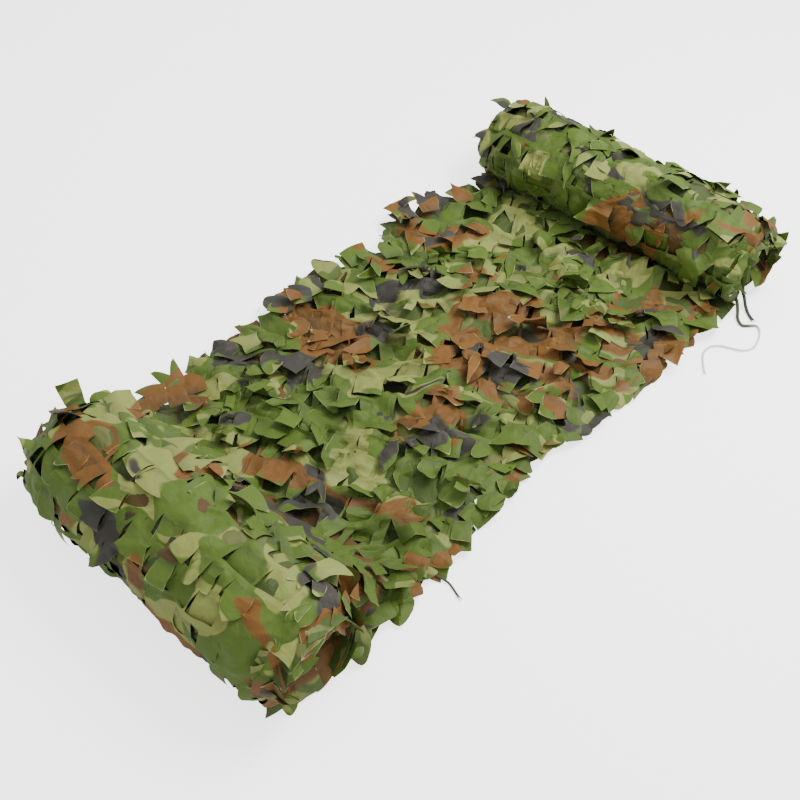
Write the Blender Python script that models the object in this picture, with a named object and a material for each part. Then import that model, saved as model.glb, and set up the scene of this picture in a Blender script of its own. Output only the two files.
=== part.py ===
"""Camouflage net: cloth cut full of leaf-shaped flaps, doubled along its length, rolled up from both
ends and left open between the two rolls.

Metres, +Z up. +Y runs along the net from the near roll to the far roll and +X points to its front edge.
The origin is on the floor, under the middle of the net.
"""

import math
import random
from typing import NamedTuple

import bmesh
import bpy
from mathutils import Vector

# The cloth's flaps: each is a cut leaf, low at its root and standing proud at its tip.
FLAP_WIDTH = 0.076
FLAP_LENGTH = 0.080
ACROSS_STEPS = (0.0, 0.14, 0.5, 0.64)
ACROSS_LIFTS = (0.25, 0.80, 1.0, 0.90)
ALONG_STEPS = (0.0, 0.45, 0.86)
ALONG_LIFTS = (0.05, 0.55, 1.0)
TIP_REACH = 0.20
TIP_MIDDLE = 0.75
LIFT_SPREAD = (0.55, 1.25)
POINT_WANDER = 0.045
ROW_SWAY = 0.16
COLUMN_SWAY = 0.15
SHEET_COLUMNS = 9
SHEET_SALT = 0

# The open stretch between the rolls, a low pile of doubled cloth.
PILE_HEIGHT = 0.024
PILE_WAVE = 0.005
PILE_RISE_AT_ROLLS = 0.012
RISE_REACH = 0.10

# The slope where the cloth comes down off the near roll. It fades out towards both edges.
SLOPE_HEIGHT = 0.085
SLOPE_TOP_Y = -0.565
SLOPE_FOOT_Y = -0.430
SLOPE_EDGE_REACH = 0.09

# The rest of the open stretch's surface and rim.
SHEET_LIFT = 0.015
BACK_RIM_HEIGHT = 0.030
FRONT_RIM_HEIGHT = 0.013
RIM_HEIGHT_SPREAD = (0.6, 1.4)
RIM_UNDERCUT = 0.006
UNDERCUT_FROM_X = 0.2
RIM_TIP = 0.026
RIM_TIP_SPREAD = (0.2, 1.3)
RIM_SHOULDER = 0.45
RIM_NICK = 0.10
RIM_NICK_SPREAD = (0.4, 1.0)
SHEET_START_Y = -0.727
SHEET_END_Y = 0.742
OPEN_START_Y = -0.590
OPEN_END_Y = 0.640

# The rolls stand on a small flat spot, a little above the sheet's underside.
ROLL_FLAT_Z = 0.0015
ROLL_END_DROOP = 0.015
ROLL_END_REACH = 0.07
ROLL_RIM_TIP = 0.013
WINDING_PITCH = 0.30
WINDING_DEPTH = 0.010
CORE_DEPTH = 0.016
CAP_RINGS = (0.86, 0.70, 0.53, 0.36, 0.18)

# Gaps cut through the open stretch, in a staggered repeat.
GAP_LENGTH = 0.052
GAP_WIDTH = 0.013
GAP_ROWS = 8
GAP_COLUMNS = 6
GAP_MARGIN_X = 0.26
GAP_MARGIN_NEAR_Y = 0.17
GAP_MARGIN_FAR_Y = 0.06
GAP_STAGGER = 0.25
GAP_WANDER = 0.012
GAP_LENGTH_SPREAD = (0.75, 1.15)
GAP_WIDTH_SPREAD = (0.7, 1.3)
GAP_TURN = 1.2
LEAF_OUTLINE = ((-0.5, 0.0), (-0.15, 0.5), (0.25, 0.42), (0.5, 0.0), (0.2, -0.5), (-0.2, -0.4))
CUTTER_LOW_Z = -0.02
CUTTER_HIGH_Z = 0.10

CORD_STEP_RADII = 5
CORD_CLEARANCE = 0.0004
WELD = 0.00001
SEED = 41


class Wave(NamedTuple):
    """A wave over two directions: its share of the whole and its paces, in radians, along each."""

    share: float
    pace_u: float
    pace_v: float
    phase: float


# The laid cloth's low waves over x and y, and the sway of the flaps' rows and columns over the column's
# number and the turn round the roll.
PILE_WAVES = (
    Wave(share=0.5, pace_u=5, pace_v=23, phase=0.0),
    Wave(share=0.35, pace_u=-17, pace_v=41, phase=1.0),
    Wave(share=0.3, pace_u=29, pace_v=9, phase=0.0),
)
ROW_WAVES = (
    Wave(share=1.0, pace_u=1.15, pace_v=2, phase=0.0),
    Wave(share=0.6, pace_u=2.3, pace_v=-3, phase=1.7),
)
COLUMN_WAVES = (Wave(share=1.0, pace_u=0.8, pace_v=3, phase=0.0),)


class Edge(NamedTuple):
    """Where the laid cloth's back and front edges lie at one place along the net."""

    y: float
    back_x: float
    front_x: float


SHEET_EDGES = (
    Edge(y=-0.730, back_x=-0.310, front_x=0.370),
    Edge(y=-0.600, back_x=-0.315, front_x=0.385),
    Edge(y=-0.480, back_x=-0.335, front_x=0.390),
    Edge(y=-0.370, back_x=-0.350, front_x=0.386),
    Edge(y=-0.270, back_x=-0.355, front_x=0.380),
    Edge(y=-0.160, back_x=-0.366, front_x=0.360),
    Edge(y=0.010, back_x=-0.380, front_x=0.350),
    Edge(y=0.100, back_x=-0.392, front_x=0.366),
    Edge(y=0.240, back_x=-0.358, front_x=0.380),
    Edge(y=0.370, back_x=-0.394, front_x=0.388),
    Edge(y=0.510, back_x=-0.352, front_x=0.390),
    Edge(y=0.620, back_x=-0.328, front_x=0.392),
    Edge(y=0.745, back_x=-0.320, front_x=0.385),
)


class Roll(NamedTuple):
    """One wound end of the net: its axis, its half sizes in section and its two ends."""

    name: str
    axis_y: float
    half_depth: float
    half_height: float
    back_x: float
    front_x: float
    skew: float
    flap_rows: int
    flap_columns: int
    lift: float
    first_turn: float
    salt: int


ROLLS = (
    Roll(
        name="near", axis_y=-0.690, half_depth=0.126, half_height=0.121, back_x=-0.285, front_x=0.388,
        skew=-0.02, flap_rows=10, flap_columns=9, lift=0.007, first_turn=-2.0, salt=100,
    ),
    Roll(
        name="far", axis_y=0.705, half_depth=0.108, half_height=0.103, back_x=-0.333, front_x=0.400,
        skew=0.007, flap_rows=8, flap_columns=9, lift=0.010, first_turn=-1.2, salt=200,
    ),
)


class Gap(NamedTuple):
    """A leaf-shaped gap through the cloth, at its middle."""

    x: float
    y: float
    length: float
    width: float
    turn: float


EDGE_GAPS = (
    Gap(x=-0.350, y=0.385, length=0.046, width=0.020, turn=0.9),
    Gap(x=-0.345, y=0.055, length=0.040, width=0.015, turn=0.4),
    Gap(x=-0.338, y=-0.070, length=0.034, width=0.012, turn=1.3),
    Gap(x=-0.320, y=-0.185, length=0.040, width=0.014, turn=0.7),
)


class Cord(NamedTuple):
    """A free cord: its node, its radius and the points that it passes through."""

    name: str
    radius: float
    colour: tuple
    route: tuple


CORDS = (
    Cord(
        name="front_tie_cord", radius=0.0022, colour=(0.045, 0.055, 0.035),
        route=(
            (0.362, -0.371, 0.0110), (0.378, -0.372, 0.0105), (0.392, -0.371, 0.0090),
            (0.405, -0.367, 0.0060), (0.419, -0.365, 0.0030), (0.433, -0.369, 0.0024),
            (0.447, -0.374, 0.0024), (0.461, -0.379, 0.0024),
        ),
    ),
    Cord(
        name="far_tie_cord", radius=0.0036, colour=(0.07, 0.09, 0.05),
        route=(
            (0.372, 0.668, 0.0330), (0.388, 0.661, 0.0310), (0.404, 0.650, 0.0240),
            (0.416, 0.638, 0.0120), (0.424, 0.627, 0.0052), (0.434, 0.617, 0.0038),
            (0.447, 0.612, 0.0038), (0.459, 0.622, 0.0038), (0.471, 0.632, 0.0038),
            (0.486, 0.621, 0.0038), (0.499, 0.594, 0.0038), (0.503, 0.564, 0.0038),
            (0.490, 0.543, 0.0038), (0.468, 0.532, 0.0038), (0.446, 0.522, 0.0038),
            (0.431, 0.504, 0.0038), (0.432, 0.476, 0.0038), (0.450, 0.448, 0.0038),
            (0.470, 0.424, 0.0038),
        ),
    ),
    Cord(
        name="far_tie_tape", radius=0.0036, colour=(0.05, 0.06, 0.045),
        route=(
            (0.374, 0.692, 0.0330), (0.390, 0.688, 0.0300), (0.405, 0.679, 0.0220),
            (0.419, 0.667, 0.0100), (0.432, 0.657, 0.0040), (0.446, 0.647, 0.0038),
            (0.458, 0.640, 0.0038),
        ),
    ),
)

CLOTH_COLOUR = (0.14, 0.13, 0.045)
CLOTH_ROUGHNESS = 0.55
CORD_ROUGHNESS = 0.8


def clear_scene():
    """Removes what the file opens with."""
    for obj in list(bpy.data.objects):
        bpy.data.objects.remove(obj, do_unlink=True)


def material(name, colour, roughness):
    """A plain finish for one piece."""
    mat = bpy.data.materials.new(name)
    mat.use_nodes = True
    shader = mat.node_tree.nodes["Principled BSDF"]
    shader.inputs["Base Color"].default_value = (*colour, 1.0)
    shader.inputs["Roughness"].default_value = roughness
    shader.inputs["Metallic"].default_value = 0.0
    return mat


def mesh_object(name, bm):
    """Makes an object of a bmesh, its faces pointing outwards."""
    bmesh.ops.recalc_face_normals(bm, faces=bm.faces)
    mesh = bpy.data.meshes.new(name)
    bm.to_mesh(mesh)
    bm.free()
    obj = bpy.data.objects.new(name, mesh)
    bpy.context.collection.objects.link(obj)
    return obj


def chance(low, high, *keys):
    """A number between low and high that is the same each time for the same whole-number keys."""
    mixed = SEED
    for key in keys:
        mixed = mixed * 1009 + key
    return random.Random(mixed).uniform(low, high)


def height_of(waves, u, v):
    """The height of the waves together at u and v."""
    return sum(wave.share * math.sin(wave.pace_u * u + wave.pace_v * v + wave.phase) for wave in waves)


def edges_at(y):
    """The back and front edges of the laid cloth at y, between the rows of the table."""
    last = SHEET_EDGES[0]
    for edge in SHEET_EDGES[1:]:
        if y <= edge.y:
            part = max(0.0, (y - last.y) / (edge.y - last.y))
            smooth = part * part * (3 - 2 * part)
            return (
                last.back_x + (edge.back_x - last.back_x) * smooth,
                last.front_x + (edge.front_x - last.front_x) * smooth,
            )
        last = edge
    return last.back_x, last.front_x


def flap_point(column, row, salt):
    """Where a grid point lies among the flaps, in flaps across and along, and how far it stands proud.

    Every other row of flaps is shifted by half a flap, as shingles are.
    """
    cell, across = divmod(column, len(ACROSS_STEPS))
    flap_row, along = divmod(row, len(ALONG_STEPS))
    shifted = flap_row % 2
    turned = (across + 2 * shifted) % len(ACROSS_STEPS)
    owner = cell - 1 if shifted and across < 2 else cell
    lift = ACROSS_LIFTS[turned] * ALONG_LIFTS[along] * chance(*LIFT_SPREAD, salt, owner, flap_row)
    u = cell + ACROSS_STEPS[across] + chance(-POINT_WANDER, POINT_WANDER, salt, column, row, 1)
    v = flap_row + ALONG_STEPS[along] + chance(-POINT_WANDER, POINT_WANDER, salt, column, row, 2)
    if along == len(ALONG_STEPS) - 1:
        v += TIP_REACH * (ACROSS_LIFTS[turned] - TIP_MIDDLE)
    return u, v, lift


def swayed(u, v, columns, rows, closed):
    """Bends the straight rows and columns of flaps a little, but not at the cloth's edges.

    On a closed roll the last row meets the first again. On a sheet the first and last rows stay straight.
    """
    turn = 2 * math.pi * v / rows
    hold_u = max(0.0, math.sin(math.pi * u / columns))
    hold_v = 1.0 if closed else max(0.0, math.sin(turn / 2))
    swayed_u = u + COLUMN_SWAY * hold_u * height_of(COLUMN_WAVES, u, turn)
    return swayed_u, v + ROW_SWAY * hold_v * height_of(ROW_WAVES, u, turn)


def rim_reach(index, tip, salt):
    """How far a ragged rim stands out at one of its points: leaf tips with nicks between them."""
    step = index % len(ALONG_STEPS)
    if step == 0:
        return -RIM_NICK * tip * chance(*RIM_NICK_SPREAD, salt, index)
    return tip * (1.0 if step == 1 else RIM_SHOULDER) * chance(*RIM_TIP_SPREAD, salt, index)


def slope_height(x, y):
    """How far the cloth still stands above the pile where it comes down off the near roll."""
    back, front = edges_at(y)
    up = min(1.0, max(0.0, (SLOPE_FOOT_Y - y) / (SLOPE_FOOT_Y - SLOPE_TOP_Y)))
    inside = min(1.0, max(0.0, min(x - back, front - x) / SLOPE_EDGE_REACH))
    return SLOPE_HEIGHT * up * up * (3 - 2 * up) * inside


def pile_height(x, y):
    """The height of the laid cloth before its flaps: low waves, and a rise where it meets each roll."""
    near_rolls = min(1.0, max(0.0, 1 - min(y - OPEN_START_Y, OPEN_END_Y - y) / RISE_REACH))
    waves = PILE_WAVE * height_of(PILE_WAVES, x, y)
    return PILE_HEIGHT + waves + PILE_RISE_AT_ROLLS * near_rolls + slope_height(x, y)


def laid_sheet():
    """The stretch between the rolls, with its hidden ends under them."""
    flap_rows = round((OPEN_END_Y - OPEN_START_Y) / FLAP_LENGTH)
    columns = SHEET_COLUMNS * len(ACROSS_STEPS) + 1
    open_rows = flap_rows * len(ALONG_STEPS) + 1
    bm = bmesh.new()

    def top_point(column, row):
        u, v, lift = flap_point(column, row, SHEET_SALT)
        rim = column in (0, columns - 1)
        end = row in (0, open_rows - 1)
        v = row / (open_rows - 1) * flap_rows if end else v
        if not rim:
            u, v = swayed(u, v, SHEET_COLUMNS, flap_rows, closed=False)
        y = OPEN_START_Y + v * (OPEN_END_Y - OPEN_START_Y) / flap_rows
        back, front = edges_at(y)
        if rim:
            u = column / (columns - 1) * SHEET_COLUMNS
        x = back + (front - back) * u / SHEET_COLUMNS
        if rim:
            out = -1 if column == 0 else 1
            x += out * rim_reach(row, RIM_TIP, 10 + column)
            height = BACK_RIM_HEIGHT if column == 0 else FRONT_RIM_HEIGHT
            return Vector((x, y, height * chance(*RIM_HEIGHT_SPREAD, 11, column, row)))
        return Vector((x, y, pile_height(x, y) + SHEET_LIFT * lift))

    def plain_row(y):
        back, front = edges_at(y)
        points = []
        for column in range(columns):
            part = column / (columns - 1)
            height = FRONT_RIM_HEIGHT if column in (0, columns - 1) else PILE_HEIGHT
            points.append(Vector((back + (front - back) * part, y, height)))
        return points

    rows = [plain_row(SHEET_START_Y)]
    for row in range(open_rows):
        rows.append([top_point(column, row) for column in range(columns)])
    rows.append(plain_row(SHEET_END_Y))

    verts = [[bm.verts.new(point) for point in points] for points in rows]
    for low, high in zip(verts, verts[1:]):
        for column in range(columns - 1):
            bm.faces.new((low[column], low[column + 1], high[column + 1], high[column]))
    front = [row[-1] for row in verts]
    back = [row[0] for row in verts[-2::-1]]
    rim = front + verts[-1][-2::-1] + back + verts[0][1:-1]
    foot = []
    for vert in rim:
        side = 0 if abs(vert.co.x) < UNDERCUT_FROM_X else math.copysign(RIM_UNDERCUT, vert.co.x)
        foot.append(bm.verts.new((vert.co.x - side, vert.co.y, 0.0)))
    for index in range(len(rim)):
        after = (index + 1) % len(rim)
        bm.faces.new((rim[index], foot[index], foot[after], rim[after]))
    bm.faces.new(foot)
    return mesh_object("laid_sheet", bm)


def winding_depth(fraction, turn):
    """How far the end of a roll is set back: the edge of one layer wound from the rim to the core."""
    layer = (fraction / WINDING_PITCH - turn) % 1.0
    return WINDING_DEPTH * (0.5 - layer) + CORE_DEPTH * (1 - fraction)


def wound_roll(roll):
    """A wound end of the net, from its back end to its front end, with flaps round its outside."""
    columns = roll.flap_columns * len(ACROSS_STEPS) + 1
    count = roll.flap_rows * len(ALONG_STEPS)
    bm = bmesh.new()

    def section(turn, x, lift):
        inside = min(x - roll.back_x, roll.front_x - x) / ROLL_END_REACH
        slim = 1 - ROLL_END_DROOP / roll.half_height * (1 - min(max(inside, 0.0), 1.0)) ** 2
        out = Vector((0, math.cos(turn) / roll.half_depth, math.sin(turn) / roll.half_height)).normalized()
        y = roll.axis_y + roll.skew * x + roll.half_depth * slim * math.cos(turn)
        z = roll.half_height * (1 + slim * math.sin(turn))
        point = Vector((x, y, z)) + out * roll.lift * lift
        point.z = max(point.z, ROLL_FLAT_Z)
        return point

    rings = []
    for column in range(columns):
        ring = []
        end = column in (0, columns - 1)
        for row in range(count):
            u, v, lift = flap_point(column, row, roll.salt)
            if end:
                u = column / (columns - 1) * roll.flap_columns
            u, v = swayed(u, v, roll.flap_columns, roll.flap_rows, closed=True)
            x = roll.back_x + (roll.front_x - roll.back_x) * u / roll.flap_columns
            turn = roll.first_turn - v / roll.flap_rows * 2 * math.pi
            if end:
                out = -1 if column == 0 else 1
                x += out * rim_reach(row, ROLL_RIM_TIP, roll.salt + column)
            ring.append(section(turn, x, lift))
        rings.append([bm.verts.new(point) for point in ring])
    for low, high in zip(rings, rings[1:]):
        for row in range(count):
            after = (row + 1) % count
            bm.faces.new((low[row], high[row], high[after], low[after]))

    for end_ring, inwards, end_x in ((rings[0], 1, roll.back_x), (rings[-1], -1, roll.front_x)):
        centre = Vector((end_x, roll.axis_y + roll.skew * end_x, roll.half_height))
        outer = end_ring
        for fraction in CAP_RINGS:
            inner = []
            for row in range(count):
                rim = end_ring[row].co
                point = centre + (Vector((end_x, rim.y, rim.z)) - centre) * fraction
                point.x += inwards * winding_depth(fraction, row / count)
                inner.append(bm.verts.new(point))
            for row in range(count):
                after = (row + 1) % count
                bm.faces.new((outer[row], outer[after], inner[after], inner[row]))
            outer = inner
        bm.faces.new(outer)
    return mesh_object(roll.name + "_roll", bm)


def leaf_gap(bm, gap):
    """A leaf-shaped prism through the whole pile, to be cut out of it."""
    outline = []
    for along, side in LEAF_OUTLINE:
        x = along * gap.length
        y = side * gap.width
        cos, sin = math.cos(gap.turn), math.sin(gap.turn)
        outline.append((gap.x + x * cos - y * sin, gap.y + x * sin + y * cos))
    low = [bm.verts.new((x, y, CUTTER_LOW_Z)) for x, y in outline]
    high = [bm.verts.new((x, y, CUTTER_HIGH_Z)) for x, y in outline]
    bm.faces.new(low)
    bm.faces.new(high)
    for index in range(len(outline)):
        after = (index + 1) % len(outline)
        bm.faces.new((low[index], low[after], high[after], high[index]))


def gap_cutter():
    """All the gaps through the open stretch as one cutter."""
    bm = bmesh.new()
    for gap in EDGE_GAPS:
        leaf_gap(bm, gap)
    start = OPEN_START_Y + GAP_MARGIN_NEAR_Y
    span = OPEN_END_Y - GAP_MARGIN_FAR_Y - start
    for row in range(GAP_ROWS):
        for column in range(GAP_COLUMNS):
            shift = GAP_STAGGER if row % 2 else -GAP_STAGGER
            x = GAP_MARGIN_X * (2 * (column + shift) / (GAP_COLUMNS - 1) - 1)
            y = start + span * row / (GAP_ROWS - 1)
            leaf_gap(bm, Gap(
                x=x + chance(-GAP_WANDER, GAP_WANDER, 31, row, column),
                y=y + chance(-GAP_WANDER, GAP_WANDER, 32, row, column),
                length=GAP_LENGTH * chance(*GAP_LENGTH_SPREAD, 33, row, column),
                width=GAP_WIDTH * chance(*GAP_WIDTH_SPREAD, 34, row, column),
                turn=chance(-GAP_TURN, GAP_TURN, 35, row, column),
            ))
    return mesh_object("gap_cutter", bm)


def smooth_route(points, step):
    """Points a step apart along a Catmull-Rom curve through the route."""
    path = [Vector(point) for point in points]
    path = [path[0] * 2 - path[1]] + path + [path[-1] * 2 - path[-2]]
    found = []
    for a, b, c, d in zip(path, path[1:], path[2:], path[3:]):
        pieces = max(1, round((c - b).length / step))
        for index in range(pieces):
            t = index / pieces
            square = (2 * a - 5 * b + 4 * c - d) * t ** 2
            cube = (3 * b - a - 3 * c + d) * t ** 3
            found.append(0.5 * (2 * b + (c - a) * t + square + cube))
    found.append(path[-2])
    return found


def cord_tube(name, points, radius):
    """A round cord with filled ends along the points."""
    curve = bpy.data.curves.new(name, "CURVE")
    curve.dimensions = "3D"
    curve.bevel_depth = radius
    curve.bevel_resolution = 2
    curve.use_fill_caps = True
    spline = curve.splines.new("POLY")
    spline.points.add(len(points) - 1)
    for target, point in zip(spline.points, points):
        target.co = (*point, 1.0)
    obj = bpy.data.objects.new(name, curve)
    bpy.context.collection.objects.link(obj)
    return obj


def boolean(obj, other, operation):
    """Adds an exact Boolean with another object, which stays as a hidden guide."""
    modifier = obj.modifiers.new(operation.lower() + "_" + other.name, "BOOLEAN")
    modifier.solver = "EXACT"
    modifier.operation = operation
    modifier.object = other
    other.hide_render = True
    other.display_type = "WIRE"


def build_net():
    """The whole net as one solid: the laid stretch, joined to its rolls and cut through at its gaps."""
    net = laid_sheet()
    net.name = "camouflage_net"
    for roll in ROLLS:
        boolean(net, wound_roll(roll), "UNION")
    boolean(net, gap_cutter(), "DIFFERENCE")
    net.data.materials.append(material("net_cloth", CLOTH_COLOUR, CLOTH_ROUGHNESS))
    return net


def tube_cutter(name, points, radius):
    """A closed mesh of a slightly fatter cord, because a Boolean can't cut with a curve."""
    curve = cord_tube(name + "_curve", points, radius)
    bpy.context.view_layer.update()
    bm = bmesh.new()
    shape = curve.evaluated_get(bpy.context.evaluated_depsgraph_get())
    bm.from_mesh(shape.to_mesh())
    shape.to_mesh_clear()
    bpy.data.objects.remove(curve, do_unlink=True)
    bmesh.ops.remove_doubles(bm, verts=bm.verts, dist=WELD)
    return mesh_object(name, bm)


def build_cord(cord, net):
    """A cord whose root lies in a socket of its own in the net."""
    points = smooth_route(cord.route, CORD_STEP_RADII * cord.radius)
    tube = cord_tube(cord.name, points, cord.radius)
    tube.data.materials.append(material(cord.name, cord.colour, CORD_ROUGHNESS))
    behind = points[0] + (points[0] - points[1]).normalized() * CORD_CLEARANCE
    socket = tube_cutter(cord.name + "_socket", [behind] + points, cord.radius + CORD_CLEARANCE)
    boolean(net, socket, "DIFFERENCE")


def main():
    clear_scene()
    net = build_net()
    for cord in CORDS:
        build_cord(cord, net)


main()
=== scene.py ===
"""The looks of a camouflage net that is rolled up from both ends: leaf-cut printed cloth and loose tie cords.

Metres and degrees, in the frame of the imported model: +Y runs along the net from the near roll to the far
roll, +X points to the front edge with the cords, and +Z is up. The cloth is one lattice of hinged leaves,
laid over the rolls and the open stretch.
"""

import logging
import math
from dataclasses import dataclass, field, replace
from enum import Enum
from typing import Protocol

import bpy
import numpy as np
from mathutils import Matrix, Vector


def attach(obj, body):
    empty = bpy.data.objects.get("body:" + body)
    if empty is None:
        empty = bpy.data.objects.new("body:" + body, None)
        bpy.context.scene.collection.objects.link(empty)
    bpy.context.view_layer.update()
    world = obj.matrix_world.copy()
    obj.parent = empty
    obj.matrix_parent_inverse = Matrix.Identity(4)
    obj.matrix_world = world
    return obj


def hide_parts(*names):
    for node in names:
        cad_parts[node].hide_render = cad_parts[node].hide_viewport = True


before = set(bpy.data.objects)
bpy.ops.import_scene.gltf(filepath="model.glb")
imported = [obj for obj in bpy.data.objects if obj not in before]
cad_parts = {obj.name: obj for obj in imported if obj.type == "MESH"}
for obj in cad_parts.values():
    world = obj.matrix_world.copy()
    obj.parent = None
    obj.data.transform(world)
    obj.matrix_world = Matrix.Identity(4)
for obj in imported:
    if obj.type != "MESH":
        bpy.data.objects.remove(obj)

LOG = logging.getLogger("camouflage_net")
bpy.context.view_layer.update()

FLOOR_GAP = 0.0012
HIGH_LEAVES = 0.252
HIGH_SQUASH = 0.7
CELL_WIDTH = 0.066
CELL_LENGTH = 0.060
ACROSS_LINES = np.array([0.0, 0.003, 0.013, 0.023, 0.033, 0.043, 0.053, 0.063, CELL_WIDTH])
ALONG_LINES = np.array([0.0, 0.0055, 0.011, 0.0208, 0.0306, 0.0404, 0.0502, CELL_LENGTH])
LEAF_LENGTH = CELL_LENGTH - ALONG_LINES[2]
LEAF_STEPS = 5
PLEAT_PITCH = 0.015
PRINT_LAYER = 0.37
NET_MIDDLE = 0.05
OPEN_WIDTH = 1.44
OPEN_LENGTH = 1.96
WEB_TONE = 0.975
LEAF_TONE = (0.965, 0.09)
EDGE_LEAF_TONE = (0.97, 0.08)
NEAR_SEED = 11
FAR_SEED = 37
UPPER_SEED = 61
LOWER_SEED = 67


# ---------------------------------------------------------------------------------------------- small sums


def unit(vectors: np.ndarray) -> np.ndarray:
    """Scale vectors to length one.

    Args:
        vectors: Vectors along the last axis.

    Returns:
        The same directions, each one long.
    """
    return vectors / np.maximum(np.linalg.norm(vectors, axis=-1, keepdims=True), 1e-9)


def ease(value: np.ndarray | float, low: float, high: float) -> np.ndarray | float:
    """Rise smoothly from 0 at low to 1 at high."""
    part = np.clip((value - low) / (high - low), 0.0, 1.0)
    return part * part * (3.0 - 2.0 * part)


class Ripple:
    """A smooth random height over a plane, the same on each run."""

    def __init__(self, seed: int, wavelength: float, waves: int = 7) -> None:
        """Choose the waves.

        Args:
            seed: Which ripple this is.
            wavelength: The middle length of its waves, in metres.
            waves: How many waves add up to it.
        """
        rng = np.random.RandomState(seed)
        turn = rng.uniform(0, 2 * math.pi, waves)
        pace = 2 * math.pi / (wavelength * rng.uniform(0.65, 1.5, waves))
        self.pace = np.stack([np.cos(turn) * pace, np.sin(turn) * pace])
        self.phase = rng.uniform(0, 2 * math.pi, waves)

    def at(self, u: np.ndarray, v: np.ndarray) -> np.ndarray:
        """Give the height at each place, mostly from -1 to 1."""
        u, v = np.asarray(u, float), np.asarray(v, float)
        angle = u[..., None] * self.pace[0] + v[..., None] * self.pace[1] + self.phase
        return np.sin(angle).sum(-1) * math.sqrt(2.0 / angle.shape[-1]) * 0.7


# ------------------------------------------------------------------------------------------------ finishes


class Bench:
    """A node tree with short ways to add and join its nodes."""

    def __init__(self, tree: bpy.types.NodeTree) -> None:
        """Work on one tree."""
        self.tree = tree

    def add(self, kind: str, inputs: dict | None = None, **settings) -> bpy.types.Node:
        """Add a node.

        Args:
            kind: The node's type after ShaderNode.
            inputs: Its sockets by name or number, each with a value or the socket that feeds it.
            **settings: Its own properties.

        Returns:
            The new node.
        """
        node = self.tree.nodes.new("ShaderNode" + kind)
        for name, value in settings.items():
            setattr(node, name, value)
        for name, value in (inputs or {}).items():
            if isinstance(value, bpy.types.NodeSocket):
                self.tree.links.new(value, node.inputs[name])
            else:
                node.inputs[name].default_value = value
        return node

    def maths(self, operation: str, *values) -> bpy.types.NodeSocket:
        """Add a Math node and give its result."""
        return self.add("Math", dict(enumerate(values)), operation=operation).outputs[0]

    def ramp(self, value: bpy.types.NodeSocket, low: float, high: float) -> bpy.types.NodeSocket:
        """Give a smooth rise from 0 at low to 1 at high."""
        sockets = {"Value": value, "From Min": low, "From Max": high}
        return self.add("MapRange", sockets, interpolation_type="SMOOTHSTEP").outputs["Result"]

    def mix(self, factor, first, second, blend: str = "MIX") -> bpy.types.NodeSocket:
        """Blend two colours by a factor and give the result."""
        node = self.add("Mix", {0: factor, 6: first, 7: second}, data_type="RGBA", blend_type=blend)
        return node.outputs[2]


def start_material(name: str) -> tuple[bpy.types.Material, Bench, bpy.types.Node]:
    """Start a material, and give it with a bench on its tree and its shader node."""
    made = bpy.data.materials.new(name)
    made.use_nodes = True
    return made, Bench(made.node_tree), made.node_tree.nodes["Principled BSDF"]


def node_group(name: str, inputs: dict[str, tuple], outputs: dict[str, str]) -> tuple:
    """Start a shader node group with named sockets.

    Args:
        name: The group's name.
        inputs: Each input's socket type after NodeSocket, and its value or None.
        outputs: Each output's socket type after NodeSocket.

    Returns:
        The group, a bench on it, its input node and its output node.
    """
    group = bpy.data.node_groups.new(name, "ShaderNodeTree")
    for label, (kind, value) in inputs.items():
        socket = group.interface.new_socket(label, in_out="INPUT", socket_type="NodeSocket" + kind)
        if value is not None:
            socket.default_value = value
    for label, kind in outputs.items():
        group.interface.new_socket(label, in_out="OUTPUT", socket_type="NodeSocket" + kind)
    bench = Bench(group)
    return group, bench, group.nodes.new("NodeGroupInput"), group.nodes.new("NodeGroupOutput")


def woodland_group() -> bpy.types.NodeTree:
    """Build the woodland print: soft-edged light, brown and dark patches on mid green.

    Returns:
        A group that turns a place on the flat cloth into a colour.
    """
    colours = ("Mid", "Light", "Brown", "Dark")
    wander_reach, edge_blur = 0.09, 0.011
    inputs = {"Place": ("Vector", None), **{c: ("Color", (0.2, 0.2, 0.2, 1.0)) for c in colours}}
    group, bench, given, out = node_group("woodland print", inputs, {"Colour": "Color"})
    wander = bench.add("TexNoise", {"Vector": given.outputs["Place"], "Scale": 11.0, "Detail": 1.0})
    centred = bench.add("VectorMath", {0: wander.outputs["Color"], 1: (0.5, 0.5, 0.5)}, operation="SUBTRACT")
    small = bench.add("VectorMath", {0: centred.outputs[0], "Scale": wander_reach}, operation="SCALE")
    place = bench.add("VectorMath", {0: given.outputs["Place"], 1: small.outputs[0]}).outputs[0]
    colour = given.outputs["Mid"]
    patches = (
        ("Light", (3.1, 7.7, 0.0), (8.5, 12.0, 1.0), 0.565),
        ("Brown", (9.4, 2.2, 5.0), (4.4, 7.6, 1.0), 0.575),
        ("Dark", (1.3, 4.6, 9.0), (5.6, 9.0, 1.0), 0.63),
    )
    for name, offset, scale, limit in patches:
        moved = bench.add("Mapping", {"Vector": place, "Location": offset, "Scale": scale})
        sockets = {"Vector": moved.outputs[0], "Scale": 1.0, "Detail": 1.2, "Roughness": 0.4}
        noise = bench.add("TexNoise", sockets).outputs["Fac"]
        patch = bench.ramp(noise, limit - edge_blur, limit + edge_blur)
        colour = bench.mix(patch, colour, given.outputs[name])
    bench.tree.links.new(colour, out.inputs["Colour"])
    return group


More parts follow.
